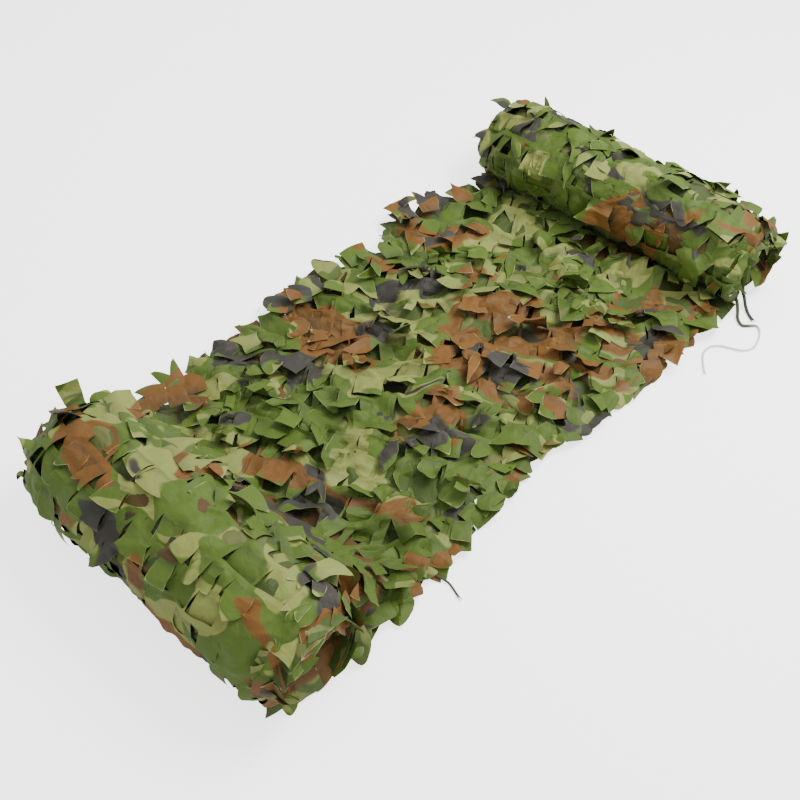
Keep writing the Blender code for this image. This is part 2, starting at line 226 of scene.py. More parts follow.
def weave_group() -> bpy.types.NodeTree:
    """Build the plain weave: threads that cross at a small pitch, and a soft crumple under them.

    Returns:
        A group that turns a place on the flat cloth into two heights.
    """
    waves_to_scale, fold_width, fold_share = 0.159, 0.3, 0.8
    inputs = {
        "Place": ("Vector", None), "Threads per metre": ("Float", 1400.0), "Crumple scale": ("Float", 27.0),
    }
    group, bench, given, out = node_group("woven cloth", inputs, {"Threads": "Float", "Crumple": "Float"})
    links = bench.tree.links
    heights = []
    for axis in ("X", "Y"):
        wave = bench.add("TexWave", {"Vector": given.outputs["Place"], "Distortion": 0.4, "Detail": 1.0},
                         wave_type="BANDS", bands_direction=axis)
        scale = bench.maths("MULTIPLY", given.outputs["Threads per metre"], waves_to_scale)
        links.new(scale, wave.inputs["Scale"])
        heights.append(wave.outputs["Fac"])
    links.new(bench.maths("MAXIMUM", *heights), out.inputs["Threads"])
    bend = bench.add("TexNoise", {"Vector": given.outputs["Place"], "Scale": 25.0, "Detail": 1.0})
    moved = bench.add("VectorMath", {0: bend.outputs["Color"], "Scale": 0.02}, operation="SCALE")
    place = bench.add("VectorMath", {0: given.outputs["Place"], 1: moved.outputs[0]}).outputs[0]
    folds = bench.add("TexVoronoi", {"Vector": place}, feature="DISTANCE_TO_EDGE")
    soft = bench.add("TexNoise", {"Vector": place, "Detail": 3.0})
    for texture in (folds, soft):
        links.new(given.outputs["Crumple scale"], texture.inputs["Scale"])
    creased = bench.maths("MINIMUM", folds.outputs["Distance"], fold_width)
    height = bench.maths("MULTIPLY_ADD", creased, fold_share, soft.outputs["Fac"])
    links.new(height, out.inputs["Crumple"])
    return group


@dataclass(frozen=True)
class PrintedCloth:
    """Thin coated polyester, printed in woodland colours, with pale heat-cut edges that carry a painted
    highlight too.
    """

    mid: tuple = (0.075, 0.124, 0.012, 1.0)
    light: tuple = (0.220, 0.250, 0.060, 1.0)
    brown: tuple = (0.156, 0.068, 0.011, 1.0)
    dark: tuple = (0.041, 0.037, 0.029, 1.0)
    pale_edge_and_highlight: tuple = (0.46, 0.50, 0.22, 1.0)
    pale_edge_and_highlight_width: float = 0.0008
    pale_edge_and_highlight_bare: tuple = (0.45, 0.66, 0.72)
    # The shadow colour and its share belong to the painted shade.
    shadow: tuple = (0.026, 0.031, 0.014, 1.0)
    shadow_share: float = 0.78
    roughness: float = 0.60
    rougher: tuple = (-0.10, 0.12)
    shine: float = 0.28
    sheen: float = 0.03
    thread_height: float = 0.00008
    crumple_height: float = 0.0044

    def material(self, woodland: bpy.types.NodeTree, weave: bpy.types.NodeTree) -> bpy.types.Material:
        """Build the cloth's material.

        Args:
            woodland: The print's node group.
            weave: The weave's node group.

        Returns:
            The material, which reads the attributes flat, rim and tone, and the painted shade attribute.
        """
        made, bench, shader = start_material("printed leaf cloth")
        flat = bench.add("Attribute", attribute_name="flat").outputs["Vector"]
        rim, tone, painted_shade = (
            bench.add("Attribute", attribute_name=name).outputs["Fac"] for name in ("rim", "tone", "painted_shade")
        )
        dye = bench.add("Group", node_tree=woodland)
        bench.tree.links.new(flat, dye.inputs["Place"])
        for name in ("mid", "light", "brown", "dark"):
            dye.inputs[name.capitalize()].default_value = getattr(self, name)
        cloth = bench.add("Group", node_tree=weave)
        bench.tree.links.new(flat, cloth.inputs["Place"])
        grey = bench.add("CombineColor", {i: tone for i in range(3)}).outputs[0]
        colour = bench.mix(1.0, dye.outputs["Colour"], grey, "MULTIPLY")
        # Pale cut edges: partly the cloth's pale heat-cut fibres, partly a painted highlight, in patches
        # along the cut.
        inside = bench.ramp(rim, self.pale_edge_and_highlight_width * 0.6, self.pale_edge_and_highlight_width * 1.4)
        edge = bench.maths("SUBTRACT", 1.0, inside)
        bare = bench.add("TexNoise", {"Vector": flat, "Scale": 26.0}).outputs["Fac"]
        low, high, most = self.pale_edge_and_highlight_bare
        shares = {"Value": bare, "From Min": low, "From Max": high, "To Max": most}
        bare = bench.add("MapRange", shares).outputs[0]
        colour = bench.mix(bench.maths("MULTIPLY", edge, bare), colour, self.pale_edge_and_highlight)
        # Painted shade: darken towards the shadow colour as the painted shade attribute says, in crevices,
        # under leaves and on the lower layers.
        shadow = bench.mix(bench.maths("MULTIPLY", painted_shade, self.shadow_share), colour, self.shadow)
        worn = bench.add("TexNoise", {"Vector": flat, "Scale": 38.0, "Detail": 3.0}).outputs["Fac"]
        smoothest, roughest = (self.roughness + change for change in self.rougher)
        rough = bench.add("MapRange", {"Value": worn, "To Min": smoothest, "To Max": roughest})
        bumps = None
        for height, distance, strength in (
            ("Crumple", self.crumple_height, 1.0), ("Threads", self.thread_height, 0.6),
        ):
            sockets = {"Height": cloth.outputs[height], "Distance": distance, "Strength": strength}
            under = {"Normal": bumps.outputs[0]} if bumps else {}
            bumps = bench.add("Bump", sockets | under)
        links = bench.tree.links
        links.new(shadow, shader.inputs["Base Color"])
        links.new(rough.outputs[0], shader.inputs["Roughness"])
        links.new(bumps.outputs[0], shader.inputs["Normal"])
        shader.inputs["Sheen Weight"].default_value = self.sheen
        shader.inputs["Specular IOR Level"].default_value = self.shine
        return made


@dataclass(frozen=True)
class CordFinish:
    """Twisted polyester cord, darker where it is new and pale where it is washed out."""

    name: str
    colour: tuple
    pale: tuple
    stain: tuple = (0.02, 0.02, 0.015, 1.0)
    roughness: float = 0.75
    sheen: float = 0.2
    fibre_height: float = 0.0004

    def material(self) -> bpy.types.Material:
        """Build the cord's material, which reads the attribute pale."""
        made, bench, shader = start_material(self.name)
        worn = bench.add("Attribute", attribute_name="pale").outputs["Fac"]
        place = bench.add("TexCoord").outputs["Object"]
        noise = bench.add("TexNoise", {"Vector": place, "Scale": 900.0, "Detail": 2.0}).outputs["Fac"]
        colour = bench.mix(worn, self.colour, self.pale)
        stained = bench.maths("MULTIPLY", noise, bench.maths("MULTIPLY_ADD", worn, -0.3, 0.35))
        colour = bench.mix(stained, colour, self.stain)
        bump = bench.add("Bump", {"Height": noise, "Distance": self.fibre_height, "Strength": 0.6})
        links = bench.tree.links
        links.new(colour, shader.inputs["Base Color"])
        links.new(bump.outputs[0], shader.inputs["Normal"])
        shader.inputs["Roughness"].default_value = self.roughness
        shader.inputs["Sheen Weight"].default_value = self.sheen
        return made


# ---------------------------------------------------------------------------------------------- the leaves


class Tip(Enum):
    """The outlines that the cut leaves have.

    Each value is the left side's and the right side's half width at six places from hinge to tip, as a part
    of the leaf's half width, and how far the tip's seven points run past the leaf's length.
    """

    SQUARE = (
        (1, 0.96, 0.94, 0.97, 1.02, 1.06), (1, 0.98, 0.98, 1.0, 1.02, 1.0),
        (0, 0, 0.01, 0.02, 0.02, 0, -0.02),
    )
    AXE = (
        (1, 0.80, 0.72, 0.84, 1.08, 1.30), (1, 0.86, 0.82, 0.88, 1.02, 1.22),
        (0.02, 0.06, 0.08, 0.09, 0.08, 0.04, 0),
    )
    POINTED = (
        (1, 1.02, 1.0, 0.86, 0.58, 0.18), (1, 1.0, 0.96, 0.80, 0.52, 0.14),
        (0, 0.1, 0.2, 0.3, 0.2, 0.1, 0),
    )
    SLANTED = (
        (1, 1.0, 1.02, 1.04, 1.06, 1.08), (1, 0.94, 0.90, 0.86, 0.84, 0.84),
        (-0.34, -0.22, -0.1, 0.02, 0.12, 0.2, 0.26),
    )
    NOTCHED = (
        (1, 0.98, 0.98, 1.04, 1.12, 1.2), (1, 0.96, 0.96, 1.02, 1.1, 1.16),
        (0.14, 0.06, -0.1, -0.3, -0.08, 0.08, 0.12),
    )
    ROUNDED = (
        (1, 1.04, 1.06, 1.02, 0.88, 0.56), (1, 1.04, 1.08, 1.04, 0.9, 0.6),
        (0, 0.09, 0.14, 0.16, 0.14, 0.09, 0),
    )
    SICKLE = (
        (1, 0.84, 0.66, 0.44, 0.22, -0.06), (1, 1.12, 1.2, 1.22, 1.16, 1.04),
        (-0.06, 0.0, 0.06, 0.1, 0.1, 0.04, -0.12),
    )


TIP_SHARES = {
    Tip.SQUARE: 0.21, Tip.AXE: 0.22, Tip.POINTED: 0.08, Tip.SLANTED: 0.21, Tip.NOTCHED: 0.07,
    Tip.ROUNDED: 0.08, Tip.SICKLE: 0.13,
}
LIFTED = (-0.15, 0.3)
STIFF = (0.0, 0.45)
SHADED = (0.0, 0.5)
FOLDS = ((0.0, 0.0, 0.55, 1.0), (1.9, 0.2, 0.35, -0.6))
RAISED_LIFT, RAISED_CURL = (38, 72), (-80, -20)
SUNK_LIFT, SUNK_CURL = (-50, -24), (0, 30)


@dataclass(frozen=True)
class Habit:
    """How the leaves of one stretch of the net lie, in degrees and parts; a pair is a lowest and highest."""

    lift: tuple[float, float] = (6.0, 26.0)
    curl: tuple[float, float] = (-22.0, 12.0)
    yaw: float = 26.0
    twist: float = 16.0
    length: tuple[float, float] = (0.95, 1.30)
    arch: float = 0.006
    crease: float = 0.30
    corner: float = 0.8
    corner_share: float = 0.25
    split_share: float = 0.35
    raised_share: float = 0.08
    sunk_share: float = 0.06
    flush_share: float = 0.0
    whole_share: float = 0.0
    stray_share: float = 0.15
    stray_yaw: float = 60.0
    widen: float = 1.08
    # Painted shade on the web, and more on its strips between the leaves.
    web_painted_shade: float = 0.30
    strip_painted_shade: float = 0.0
    strip_sink: float = 0.0
    flare: float = 1.0
    pleat: float = 0.0016
    moved_share: float = 0.0


@dataclass(frozen=True)
class LeafPose:
    """One leaf: its outline and how it bends. Angles in radians, lengths in metres."""

    tip: Tip
    mirrored: bool
    width: float
    length: float
    lift: float
    curl: float
    yaw: float
    twist: float
    arch: float
    crease: float
    crease_turn: float
    corner: float
    flare: float = 1.0
    flush: bool = False
    pleat: float = 0.0
    pleat_turn: float = 0.0

    @classmethod
    def drawn(cls, habit: Habit, width: float, settle: tuple[float, float],
              rng: np.random.RandomState) -> "LeafPose":
        """Draw a leaf from a habit.

        Args:
            habit: How the leaves of this stretch lie.
            width: The leaf's width when flat.
            settle: How far it lifts, as a part of what its habit says, and the degrees it hangs down.
            rng: Where the chances come from.

        Returns:
            The leaf.
        """
        tip = tuple(TIP_SHARES)[rng.choice(len(TIP_SHARES), p=tuple(TIP_SHARES.values()))]
        lift, curl = rng.uniform(*habit.lift), rng.uniform(*habit.curl)
        yaw = rng.normal(0, habit.yaw)
        if rng.rand() < habit.stray_share:
            yaw = rng.uniform(-habit.stray_yaw, habit.stray_yaw)
        chance = rng.rand()
        if chance < habit.raised_share:
            lift, curl = rng.uniform(*RAISED_LIFT), rng.uniform(*RAISED_CURL)
        elif chance < habit.raised_share + habit.sunk_share:
            lift, curl = rng.uniform(*SUNK_LIFT), rng.uniform(*SUNK_CURL)
        length = LEAF_LENGTH * rng.uniform(*habit.length)
        lift, curl = lift * settle[0] - settle[1], curl * settle[0]
        pleat, pleat_turn = rng.normal(0, habit.pleat), rng.uniform(0, math.pi)
        if habit.flush_share + 0.5 * (1 - settle[0]) > rng.rand():
            return cls(
                tip=Tip.SQUARE, mirrored=False, width=width, length=LEAF_LENGTH,
                lift=math.radians(rng.uniform(0, 5)), curl=math.radians(rng.uniform(-2, 3)), yaw=0.0,
                twist=math.radians(rng.normal(0, 1.5)), arch=rng.normal(0, 0.001), crease=rng.normal(0, 0.04),
                crease_turn=rng.uniform(0, math.pi), corner=0.0, flare=0.0, flush=True, pleat=pleat,
                pleat_turn=pleat_turn,
            )
        return cls(
            tip=tip, mirrored=rng.rand() < 0.5, width=width * habit.widen * rng.uniform(0.9, 1.12),
            length=length, lift=math.radians(lift), curl=math.radians(curl), yaw=math.radians(yaw),
            twist=math.radians(rng.normal(0, habit.twist)), arch=rng.normal(0, habit.arch),
            crease=rng.normal(0, habit.crease), crease_turn=rng.uniform(0, math.pi),
            corner=rng.choice((-1, 1)) * habit.corner if rng.rand() < habit.corner_share else 0.0,
            flare=habit.flare, pleat=pleat, pleat_turn=pleat_turn,
        )

    def shape(self, hinge: np.ndarray, up: np.ndarray, bend: float,
              steps: int) -> tuple[np.ndarray, np.ndarray, np.ndarray]:
        """Bend the leaf out of its hinge.

        Args:
            hinge: The hinge's points, from left to right.
            up: The cloth's outward direction at the hinge.
            bend: The curvature of what the leaf lies on, in radians per metre.
            steps: How many faces the leaf has from its hinge to its tip.

        Returns:
            The leaf's points by step and place across, their places when flat as seen from the hinge's
            middle, and their distances from the cut outline.
        """
        count = len(hinge)
        part = np.linspace(0.0, 1.0, count)
        step = np.linspace(0.0, 1.0, steps + 1)[:, None]
        left, right, ends = (np.array(v, float) for v in self.tip.value)
        left, right = (np.interp(step[:, 0], np.linspace(0, 1, len(s)), s) for s in (left, right))
        ends = np.interp(part, np.linspace(0, 1, len(ends)), ends)
        if self.mirrored:
            left, right, ends = right, left, ends[::-1]
        left, right = (1 + (s - 1) * self.flare for s in (left, right))
        across = (-left[:, None] * (1 - part) + right[:, None] * part) * self.width / 2
        along = self.length * step * (1 + ends * self.flare * step**2)

        middle = hinge.mean(0)
        side = unit(hinge[-1] - hinge[0])
        up = unit(up - side * (up @ side))
        down = np.cross(side, up)
        ahead = math.cos(self.yaw) * down + math.sin(self.yaw) * side
        side = math.cos(self.yaw) * side - math.sin(self.yaw) * down
        strides = along[1:, :] - along[:-1, :]
        mid_step = (step[1:] + step[:-1]) / 2
        angle = self.lift * ease(mid_step, *LIFTED) + self.curl * mid_step - bend * self.length * mid_step
        flat_run = np.vstack([np.zeros((1, count)), np.cumsum(strides * np.cos(angle), 0)])
        rise = np.vstack([np.zeros((1, count)), np.cumsum(strides * np.sin(angle), 0)])
        angle = self.lift * ease(step, *LIFTED) + self.curl * step - bend * self.length * step
        normal = -np.sin(angle)[..., None] * ahead + np.cos(angle)[..., None] * up
        turn = (self.twist * step)[..., None]
        wide = np.cos(turn) * side + np.sin(turn) * normal
        away = np.cos(turn) * normal - np.sin(turn) * side
        bulge = self.arch * (1 - (2 * part - 1) ** 2)
        for fold_turn, aside, onward, sharp in FOLDS:
            turned = self.crease_turn + fold_turn
            beside, beyond = across - aside * self.width, along - onward * self.length
            fold = np.cos(turned) * beside + np.sin(turned) * beyond
            bulge = bulge + sharp * self.crease * np.abs(fold)
        ridge = across * math.cos(self.pleat_turn) + along * math.sin(self.pleat_turn)
        bulge = bulge + self.pleat * np.abs((ridge / PLEAT_PITCH + self.crease_turn) % 2.0 - 1.0)
        if self.corner:
            past = across * 0.7 + along * 0.7 - 0.36 * self.width / 2 - 0.52 * self.length
            bulge = bulge + self.corner * np.maximum(past, 0.0)
        free = ease(step, *STIFF)
        shaped = (middle + flat_run[..., None] * ahead + rise[..., None] * up + across[..., None] * wide
                  + (bulge * free)[..., None] * away)
        held = hinge[None] + (flat_run[..., None] * ahead + rise[..., None] * up)
        points = held * (1 - free[..., None]) + shaped * free[..., None]
        flat = np.stack([across + 0 * along, along], -1)
        rim = np.minimum.reduce([(across - across[:, :1]), (across[:, -1:] - across), along[-1:] - along])
        return points, flat, np.abs(rim) + (0.01 if self.flush else 0.0)


class Surface(Protocol):
    """What a stretch of cloth lies on."""

    bend: float

    def at(self, u: np.ndarray, v: np.ndarray) -> np.ndarray:
        """Give the points at places across and along, in metres of laid cloth."""

    def holds(self, u: float, v: float) -> bool:
        """Say whether the cloth reaches this place."""

    def painted_crevice_shade(self, points: np.ndarray) -> np.ndarray:
        """Say how much shade to paint on each point for lying in a crevice, from 0 to 1."""

    def settle(self, u: float, v: float) -> tuple[float, float]:
        """Say how far leaves lift here, as a part of their habit's lift, and how many degrees they hang."""


def new_piece(name: str, points: np.ndarray, faces: list, attributes: dict[str, np.ndarray],
              material: bpy.types.Material) -> bpy.types.Object:
    """Make an object at the origin.

    Args:
        name: Its name.
        points: Its points, n by 3.
        faces: Its faces, as point numbers.
        attributes: What each point carries, one number or three.
        material: Its finish.

    Returns:
        The object, linked to the scene.
    """
    data = bpy.data.meshes.new(name)
    data.from_pydata(points.tolist(), [], faces)
    for label, values in attributes.items():
        kind, part = ("FLOAT_VECTOR", "vector") if values.ndim > 1 else ("FLOAT", "value")
        data.attributes.new(label, kind, "POINT").data.foreach_set(part, values.ravel().astype(np.float32))
    data.materials.append(material)
    piece = bpy.data.objects.new(name, data)
    bpy.context.collection.objects.link(piece)
    return piece


@dataclass
class Mesh:
    """The points, faces and attributes of a cloth while it is made."""

    points: list = field(default_factory=list)
    flat: list = field(default_factory=list)
    rim: list = field(default_factory=list)
    tone: list = field(default_factory=list)
    # The shade painted on each point.
    painted_shade: list = field(default_factory=list)
    faces: list = field(default_factory=list)
    count: int = 0

    def add(self, points: np.ndarray, flat: np.ndarray, rim, tone, painted_shade) -> int:
        """Add points with their attributes.

        Args:
            points: Places, n by 3.
            flat: Places on the flat cloth, n by 2 or 3.
            rim: Distance from a cut edge, one number or n.
            tone: Lightness, one number or n.
            painted_shade: The shade painted on it, one number or n.

        Returns:
            The first new point's number.
        """
        first, n = self.count, len(points)
        self.points.append(points)
        self.flat.append(np.pad(flat, ((0, 0), (0, 3 - flat.shape[1]))))
        for values, value in ((self.rim, rim), (self.tone, tone), (self.painted_shade, painted_shade)):
            values.append(np.broadcast_to(np.asarray(value, float), (n,)))
        self.count += n
        return first

    def darken(self, surface: "Surface") -> None:
        """Paint shade on what lies in the surface's crevices."""
        self.painted_shade = [np.maximum(painted_shade, surface.painted_crevice_shade(points)) for painted_shade, points in zip(self.painted_shade, self.points)]

    def grid(self, numbers: np.ndarray) -> None:
        """Add the faces of a grid of point numbers, whose rows run along and columns across."""
        quads = np.stack([numbers[:-1, :-1], numbers[1:, :-1], numbers[1:, 1:], numbers[:-1, 1:]], -1)
        self.faces.append(quads.reshape(-1, 4))

    def build(self, name: str, material: bpy.types.Material, smooth_angle: float = 13.0,
              finer: bool = False) -> bpy.types.Object:
        """Make the object.

        Args:
            name: The piece's name.
            material: Its finish.
            smooth_angle: The sharpest bend that is shaded smooth, in degrees.
            finer: Whether each face is split once more into smooth ones.

        Returns:
            The piece, at the origin.
        """
        points, faces = np.concatenate(self.points), np.concatenate(self.faces)
        used, faces = np.unique(faces, return_inverse=True)
        faces = faces.reshape(-1, 4)
        points = points[used]
        over = np.maximum(points[:, 2] - HIGH_LEAVES, 0.0)
        points[:, 2] = np.maximum(points[:, 2] - HIGH_SQUASH * over, FLOOR_GAP)
        labels = ("flat", "rim", "tone", "painted_shade")
        attributes = {label: np.concatenate(getattr(self, label))[used] for label in labels}
        piece = new_piece(name, points, faces.tolist(), attributes, material)
        bpy.ops.object.select_all(action="DESELECT")
        bpy.context.view_layer.objects.active = piece
        piece.select_set(True)
        if finer:
            finish = piece.modifiers.new("finer", "SUBSURF")
            finish.levels = finish.render_levels = 1
            finish.boundary_smooth = "PRESERVE_CORNERS"
            bpy.ops.object.modifier_apply(modifier=finish.name)
        bpy.ops.object.shade_smooth_by_angle(angle=math.radians(smooth_angle))
        piece.select_set(False)
        return piece


@dataclass(frozen=True)
class Web:
    """A laid lattice, as grids of points whose rows run along the cloth and columns across it."""

    u: np.ndarray
    v: np.ndarray
    ground: np.ndarray
    flat: np.ndarray
    up: np.ndarray
    numbers: np.ndarray


@dataclass
class LeafCloth:
    """A stretch of the net: a lattice of narrow web with a hinged leaf in every cell."""

    name: str
    surface: Surface
    columns: int
    rows: int
    width: float
    length: float
    habit: Habit
    seed: int
    # Painted shade all over, for a layer that lies under another.
    painted_shade: float = 0.0
    sway: float = 0.009
    buckle: float = 0.003
    facet: float = 0.0015
    fine: int = 2
    cut: bool = True
    extras: tuple = ()
    cells: int = 0

    @property
    def flat_size(self) -> tuple[float, float]:
        """The cloth's size before it was gathered; a turn that isn't cut lies as it is."""
        return (self.columns * CELL_WIDTH, self.rows * CELL_LENGTH) if self.cut else (self.width, self.length)

    @property
    def flat_area(self) -> float:
        """The flat area of the cells that are there, once the mesh is made."""
        width, length = self.flat_size
        return self.cells * width * length / (self.columns * self.rows)

    @property
    def cell_steps(self) -> tuple[int, int]:
        """How many steps of the grid a cell takes, across and along."""
        return (len(ACROSS_LINES) - 1) * self.fine, (len(ALONG_LINES) - 1) * self.fine

    def mesh(self) -> Mesh:
        """Lay the lattice on the surface and hang its leaves."""
        rng = np.random.RandomState(self.seed)
        made = Mesh()
        web = self.web(made)
        wide, tall = self.cell_steps
        kept = np.zeros((self.rows, self.columns + 2), bool)
        corners = {}
        for row, column in np.ndindex(self.rows, self.columns):
            along, across = tall * row, wide * column + (wide // 2 if row % 2 else 0)
            centre = (along + tall // 2, across + wide // 2)
            kept[row, column + 1] = self.surface.holds(web.u[centre], web.v[centre])
            corners[row, column] = along, across
        for row, column in np.argwhere(kept[:, 1:-1]):
            self.cells += 1
            self.cell(made, web, corners[row, column], (kept[row, column], kept[row, column + 2]), rng)
        for extra in self.extras:
            extra.hang(made, self.seed * PRINT_LAYER, rng)
        made.darken(self.surface)
        return made

    def web(self, made: Mesh) -> Web:
        """Lay the lattice on the surface.

        Args:
            made: The mesh its points are added to.

        Returns:
            The lattice.
        """
        fine = self.fine
        wide, tall = self.cell_steps
        i = np.arange(wide * self.columns + wide // 2 + 1)
        j = np.arange(tall * self.rows + 1)
        flat_u = (i // wide) * CELL_WIDTH + np.interp(i % wide / fine, range(len(ACROSS_LINES)), ACROSS_LINES)
        flat_v = (j // tall) * CELL_LENGTH + np.interp(j % tall / fine, range(len(ALONG_LINES)), ALONG_LINES)
        flat_v, flat_u = np.meshgrid(flat_v, flat_u, indexing="ij")
        u = flat_u * self.width / (self.columns * CELL_WIDTH)
        v = flat_v * self.length / (self.rows * CELL_LENGTH)
        wander = [Ripple(self.seed + k, wavelength) for k, wavelength in ((1, 0.16), (2, 0.16), (3, 0.07))]
        u, v = u + self.sway * wander[0].at(u, v), v + self.sway * wander[1].at(u, v)
        ground = self.surface.at(u, v)
        tiny = 0.001
        side = unit(self.surface.at(u + tiny, v) - ground)
        down = unit(self.surface.at(u, v + tiny) - ground)
        up = unit(np.cross(down, side))
        facets = np.abs(Ripple(self.seed + 4, 0.055).at(u, v)) - 0.4
        ground = ground + up * (self.buckle * wander[2].at(u, v) + self.facet * facets)[..., None]
        flat = np.stack([flat_u, flat_v, np.full_like(flat_u, self.seed * PRINT_LAYER)], -1)
        beside = (i[None, :] - (wide // 2) * ((j // tall) % 2)[:, None]) % wide
        strip = ((beside <= fine) | (beside >= wide - fine)) & (j % tall > 2 * fine)[:, None]
        ground = ground - up * (self.habit.strip_sink * strip)[..., None]
        # Painted shade on the web, more on the strips between the leaves.
        painted_shade = np.maximum(max(self.painted_shade, self.habit.web_painted_shade), self.habit.strip_painted_shade * strip)
        uncut_rim = 0.006
        made.add(ground.reshape(-1, 3), flat.reshape(-1, 3), uncut_rim, WEB_TONE, painted_shade.ravel())
        return Web(u, v, ground, flat, up, np.arange(u.size).reshape(u.shape))

    def cell(self, made: Mesh, web: Web, corner: tuple[int, int], joined: tuple[bool, bool],
             rng: np.random.RandomState) -> None:
        """Make one cell: its web, and its leaves where it is cut.

        Args:
            made: The mesh it is added to.
            web: The laid lattice.
            corner: Where it begins in the grid, along and across.
            joined: Whether the cell before it and the cell after it in its row are there.
            rng: Where the chances come from.
        """
        fine = self.fine
        wide, tall = self.cell_steps
        along, across = corner
        middle = (along + tall // 2, across + wide // 2)
        close = max(0.0, 0.5 - self.surface.settle(web.u[middle], web.v[middle])[0])
        end, edge = along + tall + 1, across + wide + 1
        if not self.cut or rng.rand() < self.habit.whole_share + 3.0 * close:
            made.grid(web.numbers[along:end, across:edge])
            return
        hinge_row, first, last = along + 2 * fine, across + fine, across + wide - fine
        made.grid(web.numbers[along:hinge_row + 1, across:edge])
        for there, strip in zip(joined, (slice(across, first + 1), slice(last, edge))):
            if there:
                made.grid(web.numbers[hinge_row:end, strip])
        split = rng.rand() < self.habit.split_share
        stops = (first, first + fine * rng.choice((2, 3, 4)), last) if split else (first, last)
        for start, stop in zip(stops, stops[1:]):
            self.leaf(made, web, hinge_row, slice(start, stop + 1), rng)

    def leaf(self, made: Mesh, web: Web, row: int, span: slice, rng: np.random.RandomState) -> None:
        """Hang one leaf from its hinge.

        Args:
            made: The mesh it is added to.
            web: The laid lattice.
            row: The hinge's row in the grid.
            span: The hinge's places in that row.
            rng: Where the chances come from.
        """
        centre = (row, (span.start + span.stop - 1) // 2)
        settle = self.surface.settle(web.u[centre], web.v[centre])
        flat = web.flat[row, span]
        pose = LeafPose.drawn(self.habit, flat[-1, 0] - flat[0, 0], settle, rng)
        points, place, rim = pose.shape(web.ground[row, span], web.up[centre], self.surface.bend,
                                        LEAF_STEPS * self.fine)
        middle = np.array([flat[:, 0].mean(), flat[0, 1], flat[0, 2]])
        if rng.rand() < self.habit.moved_share:
            middle = middle + np.append(rng.uniform(-0.25, 0.25, 2), 0.0)
        place = middle + np.pad(place, ((0, 0), (0, 0), (0, 1)))
        step = np.linspace(0.0, 1.0, len(rim))[1:, None] + 0 * rim[1:]
        # Painted shade at the root of a leaf that stands up, where the leaf above shades it.
        painted_shade = np.maximum(self.painted_shade, (0.0 if pose.flush else 0.5) * (1 - ease(step, *SHADED)))
        first = made.add(points[1:].reshape(-1, 3), place[1:].reshape(-1, 3), rim[1:].ravel(),
                         rng.normal(*LEAF_TONE), painted_shade.ravel())
        own = first + np.arange(points[1:, :, 0].size).reshape(points[1:].shape[:2])
        made.grid(np.vstack([web.numbers[row, span][None], own]))


@dataclass(frozen=True)
class EdgeLeaf:
    """A leaf or folded scrap of web that stands out of the net's edge, from its root to its tip."""

    root: tuple[float, float, float]
    heading: float
    lift: float
    length: float
    width: float
    tip: Tip = Tip.AXE
    curl: float = -30.0
    twist: float = 0.0
    roll: float = 0.0
    crease: float = 0.15
    patch: tuple[float, float] = (0.0, 0.0)
    layer_shift: float = 0.0
    # Painted shade all over the leaf.
    painted_shade: float = 0.0

    def hang(self, made: Mesh, layer: float, rng: np.random.RandomState) -> None:
        """Add the leaf to a cloth's mesh.

        Args:
            made: The mesh.
            layer: The print's layer that it takes its colours from.
            rng: Where the chances come from.
        """
        turn = math.radians(self.heading)
        ahead = np.array([math.cos(turn), math.sin(turn), 0.0])
        side = np.array([-math.sin(turn), math.cos(turn), 0.0])
        tilt = math.radians(self.roll)
        side, up = math.cos(tilt) * side + math.sin(tilt) * np.array([0, 0, 1.0]), np.array([0, 0, 1.0])
        up = unit(np.cross(ahead, side)) if self.roll else up
        across = np.linspace(-0.5, 0.5, 13)[:, None]
        hinge = np.array(self.root) + side * across * self.width * 0.8
        pose = LeafPose(
            tip=self.tip, mirrored=rng.rand() < 0.5, width=self.width, length=self.length,
            lift=math.radians(self.lift), curl=math.radians(self.curl), yaw=0.0,
            twist=math.radians(self.twist), arch=0.003, crease=self.crease,
            crease_turn=rng.uniform(0, math.pi), corner=0.0,
        )
        points, place, rim = pose.shape(hinge, up, 0.0, 10)
        print_layer = layer + self.layer_shift
        middle = np.array([self.root[0] + self.patch[0], -self.root[1] + self.patch[1], print_layer])
        place = middle + np.pad(place, ((0, 0), (0, 0), (0, 1)))
        step = np.linspace(0.0, 1.0, len(rim))[:, None] + 0 * rim
        # Painted shade at the leaf's root, and the leaf's own painted shade all over.
        painted_shade = np.maximum(self.painted_shade, 0.45 * (1 - ease(step, *SHADED)))
        first = made.add(points.reshape(-1, 3), place.reshape(-1, 3), rim.ravel(),
                         rng.normal(*EDGE_LEAF_TONE), painted_shade.ravel())
        made.grid(first + np.arange(rim.size).reshape(rim.shape))


@dataclass(frozen=True, kw_only=True)
class LeafScatter:
    """How leaves that are laid along a line differ; a pair is a lowest and a highest."""

    tips: tuple[Tip, ...]
    lift: tuple[float, float]
    curl: tuple[float, float]
    length: tuple[float, float]
    width: tuple[float, float]
    twist: float
    crease: float
    turned: float = 0.0
    moved: float | None = None
    # Painted shade all over each leaf.
    painted_shade: float = 0.0

    def leaf(self, root: tuple[float, float, float], heading: float, rng: np.random.RandomState,
             scale: float = 1.0, **fixed) -> EdgeLeaf:
        """Draw one leaf.

        Args:
            root: Where it is rooted.
            heading: Where it points, or mostly points, in degrees from +X.
            rng: Where the chances come from.
            scale: Its size, as a part of the others'.
            **fixed: What else is known of it, by the leaf's own names.

        Returns:
            The leaf.
        """
        heading = rng.normal(heading, self.turned) if self.turned else heading
        lift, length, width = (rng.uniform(*pair) for pair in (self.lift, self.length, self.width))
        tip = self.tips[rng.randint(len(self.tips))]
        curl, twist, crease = rng.uniform(*self.curl), rng.normal(0, self.twist), rng.normal(0, self.crease)
        if self.moved is not None:
            fixed["patch"] = tuple(rng.uniform(-self.moved, self.moved, 2))
        return EdgeLeaf(root, heading, lift, scale * length, scale * width, tip, curl=curl, twist=twist,
                        crease=crease, painted_shade=self.painted_shade, **fixed)


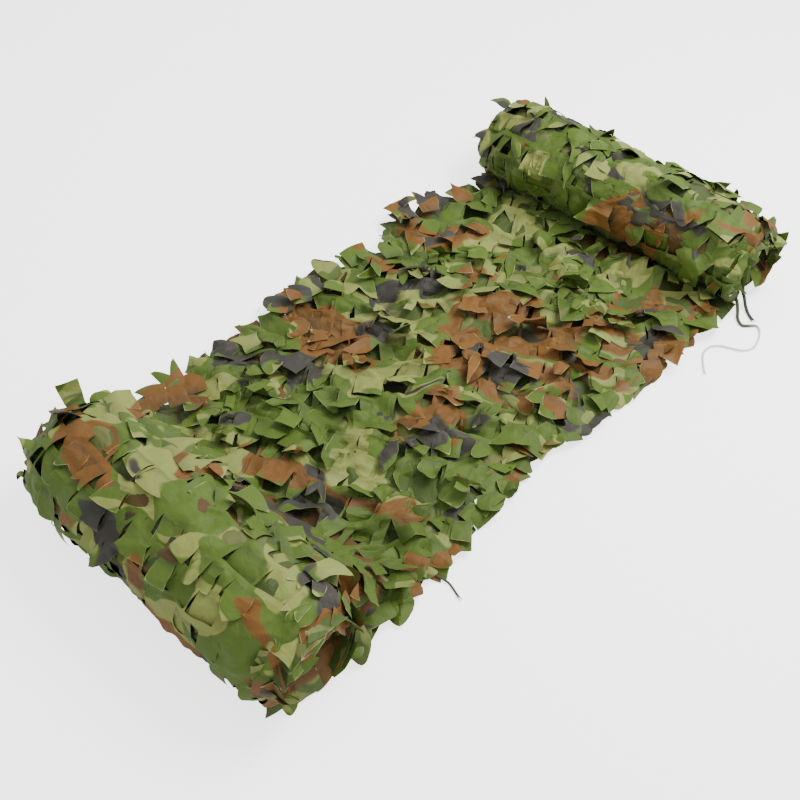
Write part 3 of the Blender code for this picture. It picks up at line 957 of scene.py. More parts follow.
SEAM_LEAVES = LeafScatter(
    tips=(Tip.SQUARE, Tip.AXE, Tip.SLANTED, Tip.POINTED), lift=(-38, -16), curl=(-20, 4),
    length=(0.050, 0.074), width=(0.044, 0.062), twist=8.0, crease=0.25, turned=18.0,
)
# The fringe leaves get a little painted shade, as under the front edge.
FRINGE_LEAVES = LeafScatter(
    tips=(Tip.SQUARE, Tip.ROUNDED, Tip.SLANTED, Tip.ROUNDED, Tip.SQUARE), lift=(-20, 14), curl=(-56, 8),
    length=(0.030, 0.050), width=(0.040, 0.068), twist=16.0, crease=0.35, turned=34.0, moved=0.06, painted_shade=0.15,
)


# ------------------------------------------------------------------------------------------ the main forms


@dataclass(frozen=True)
class RollForm:
    """The outside of one roll: an oval tube whose ends turn inwards.

    Across is the way along the roll from its back end, and along runs round it, from the start angle at its
    +Y side over the top to its -Y side.
    """

    axis_y: float
    half_depth: float
    half_height: float
    back_x: float
    front_x: float
    skew: float
    start: float
    sweep: float
    sunk: float = 0.0
    droop: float = 0.015
    droop_reach: float = 0.07
    end_round: float = 0.018
    tuck: float = 0.004
    flat_z: float = 0.0015
    bump: float = 0.004
    crease: float = 0.008
    wrinkle: float = 0.003
    nape: float = 0.0
    salt: int = 0

    @property
    def bend(self) -> float:
        """The curvature that leaves follow."""
        return 2.0 / (self.half_depth + self.half_height)

    @property
    def reach(self) -> float:
        """Half the way across, from the middle to the end of the tuck."""
        return (self.front_x - self.back_x) / 2 - self.end_round + self.end_round * math.pi / 2 + self.tuck

    @property
    def round_length(self) -> float:
        """The way round that the cloth covers."""
        return math.radians(self.sweep) / self.bend

    def sag(self, angle: np.ndarray | float) -> np.ndarray | float:
        """Say how far the roll's end sinks in at an angle: it sags at the top and lies full at the foot."""
        return self.droop * (0.35 + 0.65 * ease(np.sin(angle), -0.5, 0.6))

    def end(self, side: int) -> float:
        """Give the x of the roll's back end for -1, and of its front end for 1."""
        return self.front_x if side > 0 else self.back_x

    def oval(self, x: np.ndarray | float, angle: np.ndarray | float,
             shrink: np.ndarray | float) -> tuple[np.ndarray, np.ndarray]:
        """Give places round the roll.

        Args:
            x: Where along the roll.
            angle: How far round from its +Y side over its top, in radians.
            shrink: How far in from its outside.

        Returns:
            Their y and their z.
        """
        y = self.axis_y + self.skew * (x - NET_MIDDLE) + (self.half_depth - shrink) * np.cos(angle)
        return y, self.flat_z + self.half_height + (self.half_height - shrink) * np.sin(angle)

    def at(self, u: np.ndarray, v: np.ndarray) -> np.ndarray:
        """Give the points of the roll's outside."""
        half = (self.front_x - self.back_x) / 2
        along = u - self.reach
        far = np.abs(along)
        straight = half - self.end_round
        turned = np.clip((far - straight) / self.end_round, 0.0, math.pi / 2)
        inward = np.maximum(far - straight - self.end_round * math.pi / 2, 0.0)
        out = np.minimum(far, straight) + self.end_round * np.sin(turned)
        shrink = self.sunk + self.end_round * (1 - np.cos(turned)) + inward
        angle = np.radians(self.start) + v * self.bend
        shrink = shrink + self.sag(angle) * ease(far, straight - self.droop_reach, straight)
        shrink = shrink - self.bump * Ripple(self.salt + 5, 0.13).at(u, v)
        shrink = shrink - self.crease * (0.5 - np.abs(Ripple(self.salt + 6, 0.20).at(u * 0.6 + v * 0.5, v)))
        shrink = shrink - self.wrinkle * (0.4 - np.abs(Ripple(self.salt + 7, 0.05).at(u + v * 0.7, v * 0.6)))
        x = (self.back_x + self.front_x) / 2 + np.sign(along) * out
        y, z = self.oval(x, angle, shrink)
        return np.stack([x, y, np.maximum(z, self.flat_z)], -1)

    def holds(self, u: float, v: float) -> bool:
        """The cloth covers all of the roll."""
        return True

    def settle(self, u: float, v: float) -> tuple[float, float]:
        """Leaves lie close where the roll turns under, and flat behind its top."""
        angle = math.degrees(v * self.bend) + self.start
        return 1.0 - 0.75 * float(ease(angle, 165.0, 205.0)), self.nape * (1 - float(ease(angle, 50.0, 78.0)))

    def seam(self, seed: int, layer_shift: float) -> tuple[EdgeLeaf, ...]:
        """Lay leaves over the line where the open stretch comes off the roll, in the roll's own colours."""
        rng = np.random.RandomState(seed)
        leaves = []
        for x in np.arange(self.back_x + 0.050, self.front_x - 0.030, 0.027):
            turn = math.radians(rng.uniform(40.0, 62.0))
            y, z = self.oval(x, turn, 0.001)
            flat_u = x - (self.back_x + self.front_x) / 2 + self.reach
            flat_v = (turn - math.radians(self.start)) / self.bend
            leaves.append(SEAM_LEAVES.leaf((x, y, z), 62.0, rng, patch=(flat_u - x, flat_v + y),
                                           layer_shift=layer_shift))
        return tuple(leaves)

    def painted_crevice_shade(self, points: np.ndarray) -> np.ndarray:
        """Paint shade on the roll's inner side, where it meets the open stretch."""
        inner = ease((0.0 - points[:, 1]) * np.sign(self.axis_y) + abs(self.axis_y), 0.03, 0.09)
        return 0.6 * inner * (1 - ease(points[:, 2], 0.035, 0.080))


@dataclass(frozen=True)
class LaidForm:
    """The open stretch between the rolls: a low pile with wavy edges. Along runs towards the near roll."""

    edges: tuple = (
        (-0.730, -0.310, 0.370), (-0.600, -0.315, 0.385), (-0.480, -0.335, 0.390), (-0.370, -0.350, 0.386),
        (-0.270, -0.355, 0.380), (-0.160, -0.366, 0.360), (0.010, -0.380, 0.350), (0.100, -0.392, 0.366),
        (0.240, -0.358, 0.380), (0.370, -0.394, 0.388), (0.510, -0.352, 0.390), (0.620, -0.328, 0.392),
        (0.745, -0.320, 0.385),
    )
    low_y: float = -0.640
    high_y: float = 0.680
    turn: float = 30.0
    shift: tuple[float, float] = (0.01, 0.02)
    warp: float = 0.030
    height: float = 0.030
    wave: float = 0.009
    fold: float = 0.009
    back_height: float = 0.034
    front_height: float = 0.018
    edge_reach: float = 0.040
    inset: float = 0.018
    slope_height: float = 0.108
    slope_top: float = -0.560
    slope_foot: float = -0.430
    slope_edge: float = 0.09
    slope_fold: float = 0.012
    bend: float = 0.0
    salt: int = 0

    def place(self, u: np.ndarray, v: np.ndarray) -> tuple[np.ndarray, np.ndarray]:
        """Turn places on the cloth into x and y."""
        turn = math.radians(self.turn)
        u, v = u - OPEN_WIDTH / 2, v - OPEN_LENGTH / 2
        warp = [self.warp * Ripple(self.salt + k, 0.5).at(u, v) for k in (21, 22)]
        x = self.shift[0] + math.cos(turn) * u + math.sin(turn) * v + warp[0]
        y = self.shift[1] + math.sin(turn) * u - math.cos(turn) * v + warp[1]
        return x, y

    def spans(self, y: np.ndarray) -> tuple[np.ndarray, np.ndarray]:
        """Give the back and front edges' x at each y."""
        table = np.array(self.edges)
        return np.interp(y, table[:, 0], table[:, 1]), np.interp(y, table[:, 0], table[:, 2])

    def slope(self, x: np.ndarray, y: np.ndarray) -> np.ndarray:
        """Say how far up the slope off the near roll each place is, from 0 to 1."""
        back, front = self.spans(y)
        inside = ease(np.minimum(x - back, front - x), 0.0, self.slope_edge)
        return ease(-y, -self.slope_foot, -self.slope_top) * inside

    def at(self, u: np.ndarray, v: np.ndarray) -> np.ndarray:
        """Give the points of the pile's top."""
        x, y = self.place(u, v)
        back, front = self.spans(y)
        slope = self.slope(x, y)
        z = self.height + self.wave * Ripple(self.salt + 31, 0.12).at(x * 0.5, y)
        z = z + 0.4 * self.wave * Ripple(self.salt + 32, 0.06).at(x, y)
        z = z + self.fold * (0.45 - np.abs(Ripple(self.salt + 33, 0.22).at(x * 0.4 + y * 0.5, y)))
        z = z + (self.back_height - z) * (1 - ease(x - back, 0.0, self.edge_reach))
        z = z + (self.front_height - z) * (1 - ease(front - x, 0.0, self.edge_reach))
        ridge = 0.5 - np.abs(Ripple(self.salt + 34, 0.07).at(x * 0.22 + y * 0.2, y))
        z = z + slope * (self.slope_height + self.slope_fold * ridge)
        return np.stack([x, y, z], -1)

    def holds(self, u: float, v: float) -> bool:
        """The cloth reaches the pile's wavy edges."""
        x, y = (float(n) for n in self.place(np.array(u), np.array(v)))
        back, front = (float(n) for n in self.spans(np.array(y)))
        return back + self.inset < x < front - self.inset and self.low_y < y < self.high_y

    def fringe(self, seed: int) -> tuple[EdgeLeaf, ...]:
        """Scatter small crumpled leaves along the front edge, where the doubled cloth ends."""
        rng = np.random.RandomState(seed)
        leaves = []
        for y in np.arange(-0.600, 0.600, 0.018):
            x = float(self.spans(np.array(y))[1]) - rng.uniform(0.014, 0.044)
            root = (x, y + rng.uniform(-0.01, 0.01), rng.uniform(0.014, 0.034))
            leaves.append(FRINGE_LEAVES.leaf(root, -26.0, rng))
        return tuple(leaves)

    def settle(self, u: float, v: float) -> tuple[float, float]:
        """Leaves lie as their habit says, but close on the slope, and they hang down at the front edge."""
        x, y = (float(n) for n in self.place(np.array(u), np.array(v)))
        edge = 1 - float(ease(float(self.spans(np.array(y))[1]) - x, 0.03, 0.08))
        slope = float(self.slope(np.array(x), np.array(y)))
        return 1.0 - max(0.5 * edge, 0.6 * slope), 26.0 * edge

    def painted_crevice_shade(self, points: np.ndarray) -> np.ndarray:
        """Paint shade on the pile, under the far roll's side."""
        return 0.65 * ease(points[:, 1], 0.590, 0.630)


# --------------------------------------------------------------------------------------- the sub-assemblies


@dataclass(frozen=True, kw_only=True)
class LeafRing(LeafScatter):
    """Overlapping leaves round a roll's end, from one angle to another in degrees."""

    first: float
    last: float
    step: float
    shrink: float
    inset: float
    tips: tuple[Tip, ...] = (Tip.SQUARE, Tip.AXE, Tip.SLANTED, Tip.NOTCHED)
    twist: float = 6.0
    crease: float = 0.2


END_RINGS = (
    # The inner ring lies inside the lip and gets painted shade.
    LeafRing(first=-50.0, last=236.0, step=24.0, shrink=0.030, inset=0.016, lift=(-12, 2), curl=(-30, 6),
             length=(0.034, 0.050), width=(0.056, 0.080), moved=0.2, painted_shade=0.45),
    LeafRing(first=-50.0, last=12.0, step=20.0, shrink=0.002, inset=0.022, lift=(-34, 0), curl=(-34, 6),
             length=(0.036, 0.052), width=(0.054, 0.080), moved=0.2),
    LeafRing(first=172.0, last=226.0, step=18.0, shrink=0.002, inset=0.026, lift=(-52, -26), curl=(-34, 0),
             length=(0.036, 0.052), width=(0.060, 0.084), moved=0.0),
    LeafRing(first=14.0, last=172.0, step=17.0, shrink=0.002, inset=0.026, lift=(-72, -42), curl=(-30, 6),
             length=(0.050, 0.082), width=(0.070, 0.098), moved=0.02),
)


@dataclass
class NetRoll:
    """One roll: its outer turn of leaf cloth, the turn under it and the wound turns at both ends."""

    name: str
    form: RollForm
    outer: LeafCloth
    under: LeafCloth
    turns: int
    end_seed: int
    leaf_scale: float = 1.0

    def rim_leaves(self, side: int) -> tuple[EdgeLeaf, ...]:
        """Ring one end with overlapping leaves: the outer turn's lip, and the turn inside it.

        Args:
            side: -1 for the back end, 1 for the front end.

        Returns:
            The leaves.
        """
        form, rng = self.form, np.random.RandomState(self.end_seed + 40 + side)
        leaves = []
        for ring in END_RINGS:
            for degrees in np.arange(ring.first, ring.last, ring.step * self.leaf_scale**0.5):
                turn = math.radians(degrees + rng.uniform(-5, 5))
                x = form.end(side) - side * ring.inset
                y, z = form.oval(x, turn, float(form.sag(turn)) + ring.shrink)
                leaves.append(ring.leaf((x, y, z), 90.0 - 90.0 * side, rng, scale=self.leaf_scale,
                                        roll=side * (math.degrees(turn) - 90.0)))
        return tuple(leaves)

    def build(self, cloth: bpy.types.Material) -> list[bpy.types.Object]:
        """Make the roll's pieces."""
        pieces = []
        self.outer.extras = self.outer.extras + self.rim_leaves(-1) + self.rim_leaves(1)
        for stretch in (self.outer, self.under):
            piece = stretch.mesh().build(stretch.name, cloth)
            pieces.append(dressed(piece))
        for side in (-1, 1):
            pieces.append(self.wound_end(side, cloth))
        return pieces

    def wound_end(self, side: int, cloth: bpy.types.Material) -> bpy.types.Object:
        """Make the wound turns that show at one end, as one spiral strip with a leafy edge.

        Args:
            side: -1 for the back end, 1 for the front end.
            cloth: The finish.

        Returns:
            The piece.
        """
        width, steps_a_turn, foot_gap = 0.062, 26, 0.008
        form = self.form
        rng = np.random.RandomState(self.end_seed + side)
        steps = steps_a_turn * self.turns
        angle = np.linspace(0, 2 * math.pi * self.turns, steps + 1)
        turn_part = angle / angle[-1]
        shrink = 0.014 + turn_part * (form.half_height - 0.030)
        shrink = shrink + 0.004 * np.sin(angle * 1.3 + side) + 0.003 * np.sin(angle * 2.7 + self.end_seed)
        across = np.linspace(0.0, 1.0, 7)
        teeth = rng.uniform(-0.016, 0.010, steps + 1)
        edge = form.end(side) - side * (foot_gap + 0.010 * turn_part - teeth)
        root = form.end(side) - side * (foot_gap + width)
        x = root + (edge - root)[None, :] * across[:, None]
        lean = 0.006 * rng.normal(0, 1, steps + 1)[None, :] * across[:, None] ** 2
        y, z = form.oval(x, angle, shrink[None, :] + form.sag(angle) - lean)
        points = np.stack([x, y, z - 0.004], -1)
        round_strip, print_layer = (angle * 0.07)[None, :], np.array(self.end_seed * 0.21)
        flat = np.stack(np.broadcast_arrays(x * side, round_strip, print_layer), -1)
        made = Mesh()
        rim = np.broadcast_to(((1 - across) * width)[:, None], x.shape)
        # Painted shade, darkest at the roots of the wound turns and lighter out at their edge.
        painted_shade = np.broadcast_to((0.85 - 0.55 * across)[:, None], x.shape)
        made.add(points.reshape(-1, 3), flat.reshape(-1, 3), rim.ravel(), 0.95, painted_shade.ravel())
        made.grid(np.arange(x.size).reshape(x.shape))
        label = f"{self.name}_{'front' if side > 0 else 'back'}_windings"
        piece = made.build(label, cloth, finer=True)
        return dressed(piece)


def dressed(piece: bpy.types.Object) -> bpy.types.Object:
    """Declare a piece of the net's cloth.

    Args:
        piece: The piece.

    Returns:
        The same piece.
    """
    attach(piece, "root")
    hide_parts("camouflage_net")
    return piece


@dataclass(frozen=True)
class TieCord:
    """A twisted three-strand tie cord that lies on the floor, with a frayed end."""

    name: str
    radius: float
    route: tuple
    finish: CordFinish
    far_end: str = "bare"
    pale_from: float = 2.0
    pale_to: float = 3.0
    pitch: float = 0.012
    fray: float = 0.010
    thin: float = 1.0
    sides: int = 7
    floor_gap: float = 0.0002

    def line(self) -> np.ndarray:
        """Give the centreline's points, close together and smooth."""
        given = np.array(self.route)
        padded = np.vstack([2 * given[0] - given[1], given, 2 * given[-1] - given[-2]])
        part = np.linspace(0, 1, 9)[:-1, None]
        out = []
        for a, b, c, d in zip(padded, padded[1:], padded[2:], padded[3:]):
            out.append(0.5 * (2 * b + (c - a) * part + (2 * a - 5 * b + 4 * c - d) * part**2
                              + (3 * b - a - 3 * c + d) * part**3))
        return np.vstack([*out, given[-1:]])

    def tube_faces(self, base: int, count: int) -> list[tuple[int, ...]]:
        """Give one strand's faces, with both of its ends closed.

        Args:
            base: Its first point's number.
            count: How many rings of points it has.

        Returns:
            The faces, as point numbers.
        """
        faces = []
        for ring in range(base, base + (count - 1) * self.sides, self.sides):
            for s in range(self.sides):
                t = (s + 1) % self.sides
                faces.append((ring + s, ring + t, ring + self.sides + t, ring + self.sides + s))
        first, last = (
            tuple(range(ring, ring + self.sides)) for ring in (base, base + (count - 1) * self.sides)
        )
        return [*faces, first[::-1], last]

    def build(self) -> bpy.types.Object:
        """Make the cord: three strands wound round one line, which part at the frayed end."""
        line = self.line()
        run = np.concatenate([[0], np.cumsum(np.linalg.norm(np.diff(line, axis=0), axis=1))])
        length = float(run[-1])
        count = max(24, int(length / 0.0016))
        places = np.linspace(0, length, count)
        centre = np.stack([np.interp(places, run, line[:, k]) for k in range(3)], -1)
        ahead = unit(np.gradient(centre, axis=0))
        side = unit(np.cross(ahead, np.array([0, 0, 1.0])))
        up = np.cross(side, ahead)
        verts, faces, pale = [], [], []
        faded = ease(places / length, self.pale_from, self.pale_to)
        open_part = ease(places, length - self.fray, length)
        slim = 1 + (self.thin - 1) * faded
        spread = self.radius * 0.55 * slim * (1 + 2.2 * open_part)
        thick = self.radius * 0.66 * slim * (1 - 0.75 * open_part)
        ring = np.linspace(0, 2 * math.pi, self.sides, endpoint=False)
        outward = np.cos(ring)[None, :, None] * side[:, None] + np.sin(ring)[None, :, None] * up[:, None]
        for k in range(3):
            turn = places * 2 * math.pi / self.pitch + k * 2 * math.pi / 3
            aside, above = np.cos(turn) * spread, np.sin(turn) * spread * (1 - 0.8 * open_part)
            middle = centre + aside[:, None] * side + above[:, None] * up
            tube = middle[:, None] + thick[:, None, None] * outward
            verts.append(tube.reshape(-1, 3))
            pale.append(np.repeat(faded, self.sides))
            faces.extend(self.tube_faces(k * count * self.sides, count))
        points = np.concatenate(verts)
        points[:, 2] = np.maximum(points[:, 2], self.floor_gap)
        piece = new_piece(self.name + "_strands", points, faces, {"pale": np.concatenate(pale)},
                          self.finish.material())
        for face in piece.data.polygons:
            face.use_smooth = True
        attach(piece, "root")
        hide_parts(self.name)
        LOG.info("%s is %.0f mm long", self.name, length * 1000)
        return piece


@dataclass(frozen=True)
class Studio:
    """A pale floor, soft light and the camera."""

    camera_place: tuple = (1.292, -1.454, 2.003)
    looks_at: tuple = (0.03, -0.077, 0.0)
    lens: float = 57.6
    floor_size: float = 40.0
    floor_colour: tuple = (0.88, 0.88, 0.87, 1.0)
    floor_glow: float = 2.2
    sky: float = 0.95
    key_power: float = 130.0
    key_size: float = 1.6
    key_place: tuple = (0.9, 1.3, 2.6)

    def camera(self) -> None:
        """Set up the camera."""
        lens = bpy.data.cameras.new("camera")
        lens.lens = self.lens
        lens.sensor_width = 36.0
        stand = bpy.data.objects.new("camera", lens)
        stand.location = self.camera_place
        view = Vector(self.looks_at) - Vector(self.camera_place)
        stand.rotation_euler = view.to_track_quat("-Z", "Y").to_euler()
        bpy.context.collection.objects.link(stand)
        bpy.context.scene.camera = stand

    def light(self) -> None:
        """Lay the floor and hang the lights."""
        bpy.ops.object.select_all(action="DESELECT")
        bpy.ops.mesh.primitive_plane_add(size=self.floor_size)
        floor = bpy.context.object
        floor.name = "studio_floor"
        paper, bench, shader = start_material("studio paper")
        shader.inputs["Base Color"].default_value = self.floor_colour
        shader.inputs["Roughness"].default_value = 0.8
        shader.inputs["Emission Color"].default_value = (1, 1, 1, 1)
        seen = bench.add("LightPath").outputs["Is Camera Ray"]
        glow = bench.maths("MULTIPLY", seen, self.floor_glow)
        bench.tree.links.new(glow, shader.inputs["Emission Strength"])
        floor.data.materials.append(paper)
        world = bpy.data.worlds.new("studio sky")
        world.use_nodes = True
        world.node_tree.nodes["Background"].inputs[0].default_value = (1, 1, 1, 1)
        bench = Bench(world.node_tree)
        seen = bench.add("LightPath").outputs["Is Camera Ray"]
        glow = bench.maths("MULTIPLY_ADD", seen, self.floor_glow, self.sky)
        bench.tree.links.new(glow, world.node_tree.nodes["Background"].inputs["Strength"])
        bpy.context.scene.world = world
        lamp = bpy.data.lights.new("key", "AREA")
        lamp.energy, lamp.size = self.key_power, self.key_size
        holder = bpy.data.objects.new("key", lamp)
        holder.location = self.key_place
        holder.rotation_euler = (-Vector(self.key_place)).to_track_quat("-Z", "Y").to_euler()
        bpy.context.collection.objects.link(holder)


NEW_CORD = CordFinish("olive tie cord", (0.070, 0.092, 0.040, 1.0), (0.86, 0.84, 0.80, 1.0))
DARK_CORD = CordFinish("dark tie cord", (0.055, 0.065, 0.045, 1.0), (0.3, 0.3, 0.26, 1.0))

CORDS = (
    TieCord(
        name="front_tie_cord", radius=0.0022, finish=DARK_CORD, fray=0.018,
        route=(
            (0.362, -0.371, 0.011), (0.378, -0.372, 0.0105), (0.392, -0.371, 0.009), (0.405, -0.367, 0.006),
            (0.419, -0.365, 0.003), (0.433, -0.369, 0.0024), (0.447, -0.374, 0.0024), (0.461, -0.379, 0.0024),
        ),
    ),
    TieCord(
        name="far_tie_cord", radius=0.0036, finish=NEW_CORD, pale_from=0.26, pale_to=0.4, thin=0.62,
        route=(
            (0.372, 0.668, 0.033), (0.388, 0.661, 0.031), (0.404, 0.65, 0.024), (0.416, 0.638, 0.012),
            (0.424, 0.627, 0.0052), (0.434, 0.617, 0.0038), (0.447, 0.612, 0.0038), (0.459, 0.622, 0.0038),
            (0.471, 0.632, 0.0038), (0.486, 0.621, 0.0038), (0.499, 0.594, 0.0038), (0.503, 0.564, 0.0038),
            (0.49, 0.543, 0.0038), (0.468, 0.532, 0.0038), (0.446, 0.522, 0.0038), (0.431, 0.504, 0.0038),
            (0.432, 0.476, 0.0038), (0.45, 0.448, 0.0038), (0.47, 0.424, 0.0038),
        ),
    ),
    TieCord(
        name="far_tie_tape", radius=0.0036, finish=DARK_CORD,
        route=(
            (0.374, 0.692, 0.033), (0.39, 0.688, 0.03), (0.405, 0.679, 0.022), (0.419, 0.667, 0.01),
            (0.432, 0.657, 0.004), (0.446, 0.647, 0.0038), (0.458, 0.64, 0.0038),
        ),
    ),
)

NEAR_ROLL_FLAPS = (
    EdgeLeaf((-0.280, -0.648, 0.205), 170, 30, 0.060, 0.044, Tip.SQUARE, curl=60),
    EdgeLeaf((-0.262, -0.618, 0.188), 124, 30, 0.050, 0.044, Tip.ROUNDED, curl=-60),
    EdgeLeaf((-0.262, -0.765, 0.203), 188, 4, 0.036, 0.024, Tip.POINTED, curl=-10),
    EdgeLeaf((-0.270, -0.790, 0.126), 190, 70, 0.048, 0.013, Tip.SQUARE, curl=-190),
    EdgeLeaf((0.378, -0.742, 0.054), -45, -56, 0.050, 0.032, Tip.ROUNDED, curl=-12),
    EdgeLeaf((0.380, -0.636, 0.060), -35, -62, 0.050, 0.034, Tip.ROUNDED, curl=-10),
    EdgeLeaf((0.380, -0.580, 0.056), -30, -40, 0.060, 0.046, Tip.ROUNDED, curl=-16),
    # These flaps hang in the recess at the roll's front end and get painted shade.
    EdgeLeaf((0.368, -0.715, 0.070), -10, -62, 0.066, 0.070, Tip.SQUARE, curl=-10, painted_shade=0.55),
    EdgeLeaf((0.368, -0.664, 0.072), -6, -64, 0.066, 0.070, Tip.SLANTED, curl=-10, painted_shade=0.5),
    EdgeLeaf((0.366, -0.612, 0.070), 4, -58, 0.066, 0.070, Tip.SQUARE, curl=-16, painted_shade=0.45),
    EdgeLeaf((0.362, -0.762, 0.074), -10, -68, 0.054, 0.060, Tip.AXE, curl=-10, painted_shade=0.5),
)
FAR_ROLL_FLAPS = (
    EdgeLeaf((0.372, 0.762, 0.130), 15, 6, 0.052, 0.044, Tip.ROUNDED, curl=-20),
    EdgeLeaf((0.368, 0.735, 0.066), 5, -28, 0.056, 0.046, Tip.AXE, curl=-30),
    EdgeLeaf((0.094, 0.772, 0.186), 24, 0, 0.048, 0.028, Tip.POINTED, curl=-10),
    EdgeLeaf((0.300, 0.770, 0.184), 12, 2, 0.052, 0.026, Tip.SQUARE, curl=-16),
    EdgeLeaf((0.235, 0.772, 0.185), 18, -2, 0.050, 0.030, Tip.SLANTED, curl=-10),
    EdgeLeaf((-0.322, 0.700, 0.190), 165, 10, 0.050, 0.036, Tip.SQUARE, curl=-30),
    EdgeLeaf((-0.318, 0.640, 0.140), 190, -4, 0.044, 0.034, Tip.SLANTED, curl=-30),
)
OPEN_EDGE_LEAVES = (
    EdgeLeaf((-0.304, -0.392, 0.030), 172, 19, 0.074, 0.051, Tip.NOTCHED, curl=-16),
    EdgeLeaf((-0.262, -0.505, 0.084), 178, 10, 0.060, 0.056, Tip.SQUARE, curl=-36, patch=(-0.030, -0.110)),
    EdgeLeaf((-0.270, -0.466, 0.076), 170, 24, 0.058, 0.054, Tip.AXE, curl=-40, patch=(-0.028, -0.084)),
    EdgeLeaf((-0.262, -0.432, 0.056), 160, 28, 0.058, 0.050, Tip.SLANTED, curl=-40, patch=(-0.050, -0.040)),
    EdgeLeaf((-0.040, 0.646, 0.036), -90, 2, 0.060, 0.060, Tip.SQUARE, curl=-20),
    EdgeLeaf((-0.085, 0.648, 0.036), -100, 0, 0.060, 0.060, Tip.SLANTED, curl=-16),
    EdgeLeaf((-0.282, -0.372, 0.030), 160, 12, 0.055, 0.057, Tip.SQUARE, curl=-24),
    EdgeLeaf((-0.316, -0.306, 0.030), 150, 16, 0.055, 0.010, Tip.POINTED, curl=-48),
    EdgeLeaf((-0.282, -0.205, 0.034), 165, 22, 0.055, 0.053, Tip.AXE, curl=-48),
    EdgeLeaf((-0.316, -0.075, 0.034), 176, 21, 0.068, 0.057, Tip.ROUNDED, curl=-40),
    EdgeLeaf((-0.309, -0.030, 0.040), 150, 30, 0.052, 0.051, Tip.SLANTED, curl=-48),
    EdgeLeaf((-0.309, 0.022, 0.036), 170, 26, 0.057, 0.057, Tip.AXE, curl=-56),
    EdgeLeaf((-0.316, 0.090, 0.034), 182, 22, 0.070, 0.055, Tip.ROUNDED, curl=-32),
    EdgeLeaf((-0.306, 0.156, 0.038), 160, 25, 0.059, 0.062, Tip.SQUARE, curl=-40),
    EdgeLeaf((-0.264, 0.226, 0.040), 150, 22, 0.055, 0.053, Tip.SICKLE, curl=-40),
    EdgeLeaf((-0.380, 0.345, 0.028), 78, 98, 0.118, 0.024, Tip.SQUARE, curl=-196),
    EdgeLeaf((-0.326, 0.352, 0.036), 170, 24, 0.068, 0.060, Tip.AXE, curl=-24),
    EdgeLeaf((-0.314, 0.410, 0.040), 150, 33, 0.057, 0.053, Tip.NOTCHED, curl=-32),
    EdgeLeaf((-0.276, 0.500, 0.036), 165, 20, 0.059, 0.051, Tip.POINTED, curl=-24),
    EdgeLeaf((-0.262, 0.588, 0.034), 172, 22, 0.055, 0.046, Tip.SLANTED, curl=-32),
    EdgeLeaf((0.328, -0.470, 0.020), -20, -8, 0.064, 0.046, Tip.AXE, curl=-20),
    EdgeLeaf((0.344, -0.430, 0.018), -32, 0, 0.050, 0.034, Tip.SLANTED, curl=-20),
    EdgeLeaf((0.330, -0.300, 0.018), -30, 0, 0.052, 0.048, Tip.SQUARE, curl=-14),
    EdgeLeaf((0.308, -0.100, 0.018), -36, 2, 0.054, 0.050, Tip.ROUNDED, curl=-20),
    EdgeLeaf((0.326, 0.200, 0.018), -28, -2, 0.056, 0.050, Tip.SLANTED, curl=-10),
    EdgeLeaf((0.334, 0.440, 0.018), -34, 0, 0.052, 0.046, Tip.AXE, curl=-16),
)

NEAR_FORM = RollForm(
    axis_y=-0.690, half_depth=0.126, half_height=0.121, back_x=-0.285, front_x=0.388, skew=-0.02, start=-38.0,
    sweep=322.0, salt=100,
)
FAR_FORM = RollForm(
    axis_y=0.705, half_depth=0.108, half_height=0.103, back_x=-0.333, front_x=0.400, skew=0.007, start=-62.0,
    sweep=300.0, nape=10.0, salt=200,
)


TAUT = Habit(
    lift=(1, 7), curl=(-9, 3), yaw=9, twist=5, length=(1.0, 1.22), arch=0.003, crease=0.14, flare=0.6,
    corner_share=0.12, split_share=0.30, raised_share=0.03, sunk_share=0.01, flush_share=0.36,
    whole_share=0.36, stray_share=0.10, web_painted_shade=0.0, widen=1.16, pleat=0.0013,
)
LEAFY = Habit(
    lift=(1, 10), curl=(-14, 5), yaw=15, twist=8, crease=0.18, raised_share=0.015, sunk_share=0.03,
    flush_share=0.18, whole_share=0.12, stray_share=0.15, length=(1.0, 1.25), widen=1.16, web_painted_shade=0.1,
    moved_share=0.06, strip_painted_shade=0.25, strip_sink=0.002, split_share=0.42,
)
WILD = Habit(
    lift=(2, 13), curl=(-20, 3), yaw=20, twist=10, length=(1.05, 1.45), split_share=0.42, crease=0.26,
    flush_share=0.24, whole_share=0.16, stray_share=0.32, stray_yaw=80, widen=1.18, pleat=0.0022,
    moved_share=0.08, web_painted_shade=0.12, strip_painted_shade=0.3, strip_sink=0.003,
)
UNCUT = Habit()


# ------------------------------------------------------------------------------------------ the whole thing


def sunk(form: RollForm, depth: float) -> RollForm:
    """Give the same roll one turn further in: all the way round, and closed by its tucked ends."""
    inset = 0.024
    return replace(form, sunk=depth, salt=form.salt + 50, back_x=form.back_x + inset,
                   front_x=form.front_x - inset, sweep=362.0, tuck=0.070)


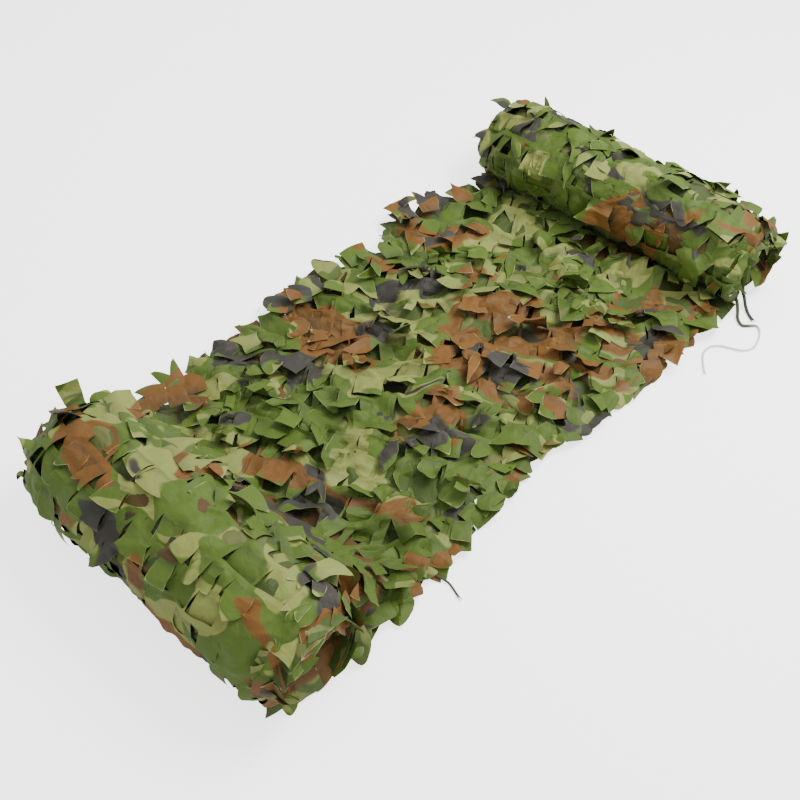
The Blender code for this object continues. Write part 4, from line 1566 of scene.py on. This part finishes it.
def net_roll(name: str, form: RollForm, habit: Habit, cell: tuple[float, float], seed: int,
             flaps: tuple[EdgeLeaf, ...], leaf_scale: float) -> NetRoll:
    """Set up one roll.

    Args:
        name: Its name, which its pieces' names begin with.
        form: Its outside.
        habit: How its leaves lie.
        cell: About how wide and long a cell is when laid.
        seed: Where its chances start.
        flaps: The leaves that stand out of it.
        leaf_scale: The size of the leaves at its ends.

    Returns:
        The roll.
    """
    layers = []
    # The turn under the outer one gets painted shade all over.
    for layer, shape, lies, painted_shade, more in (
        ("outer_cloth", form, habit, 0.0, 0), ("under_cloth", sunk(form, 0.008), UNCUT, 0.72, 5),
    ):
        width, length = 2 * shape.reach, shape.round_length
        layers.append(LeafCloth(
            name=f"{name}_{layer}", surface=shape, columns=round(width / cell[0]),
            rows=round(length / cell[1]), width=width, length=length, habit=lies, seed=seed + more,
            painted_shade=painted_shade, fine=1 if painted_shade else 2, cut=not painted_shade, extras=() if painted_shade else flaps,
        ))
    return NetRoll(name=name, form=form, outer=layers[0], under=layers[1], turns=5, end_seed=seed,
                   leaf_scale=leaf_scale)


def open_stretch() -> tuple[LeafCloth, LeafCloth]:
    """Set up the two layers between the rolls."""
    upper = LaidForm(salt=1)
    lower = LaidForm(salt=3, height=0.016, wave=0.004, back_height=0.014, front_height=0.010, inset=0.012,
                     turn=-8.0)
    seam = NEAR_FORM.seam(73, (NEAR_SEED - UPPER_SEED) * PRINT_LAYER)
    return (
        LeafCloth(name="open_stretch_upper", surface=upper, columns=24, rows=38, width=OPEN_WIDTH,
                  length=OPEN_LENGTH, habit=WILD, seed=UPPER_SEED, buckle=0.004, facet=0.005,
                  extras=OPEN_EDGE_LEAVES + upper.fringe(71) + seam),
        # The lower layer gets painted shade all over.
        LeafCloth(name="open_stretch_lower", surface=lower, columns=24, rows=34, width=OPEN_WIDTH,
                  length=OPEN_LENGTH, habit=UNCUT, seed=LOWER_SEED, painted_shade=0.6, fine=1, cut=False),
    )


def main() -> None:
    """Build the net, its cords and the studio."""
    studio = Studio()
    studio.camera()
    for cord in CORDS:
        cord.build()
    cloth = PrintedCloth().material(woodland_group(), weave_group())
    rolls = (
        net_roll("near_roll", NEAR_FORM, TAUT, (0.064, 0.058), NEAR_SEED, NEAR_ROLL_FLAPS, 1.0),
        net_roll("far_roll", FAR_FORM, LEAFY, (0.058, 0.050), FAR_SEED, FAR_ROLL_FLAPS, 0.72),
    )
    for roll in rolls:
        for piece in roll.build(cloth):
            LOG.info("%s has %d faces", piece.name, len(piece.data.polygons))
    for stretch in open_stretch():
        piece = stretch.mesh().build(stretch.name, cloth)
        dressed(piece)
        LOG.info("%s has %d cells and %d faces", piece.name, stretch.cells, len(piece.data.polygons))
    studio.light()


if __name__ == "__main__":
    logging.basicConfig(level=logging.INFO, format="%(name)s: %(message)s")
    main()
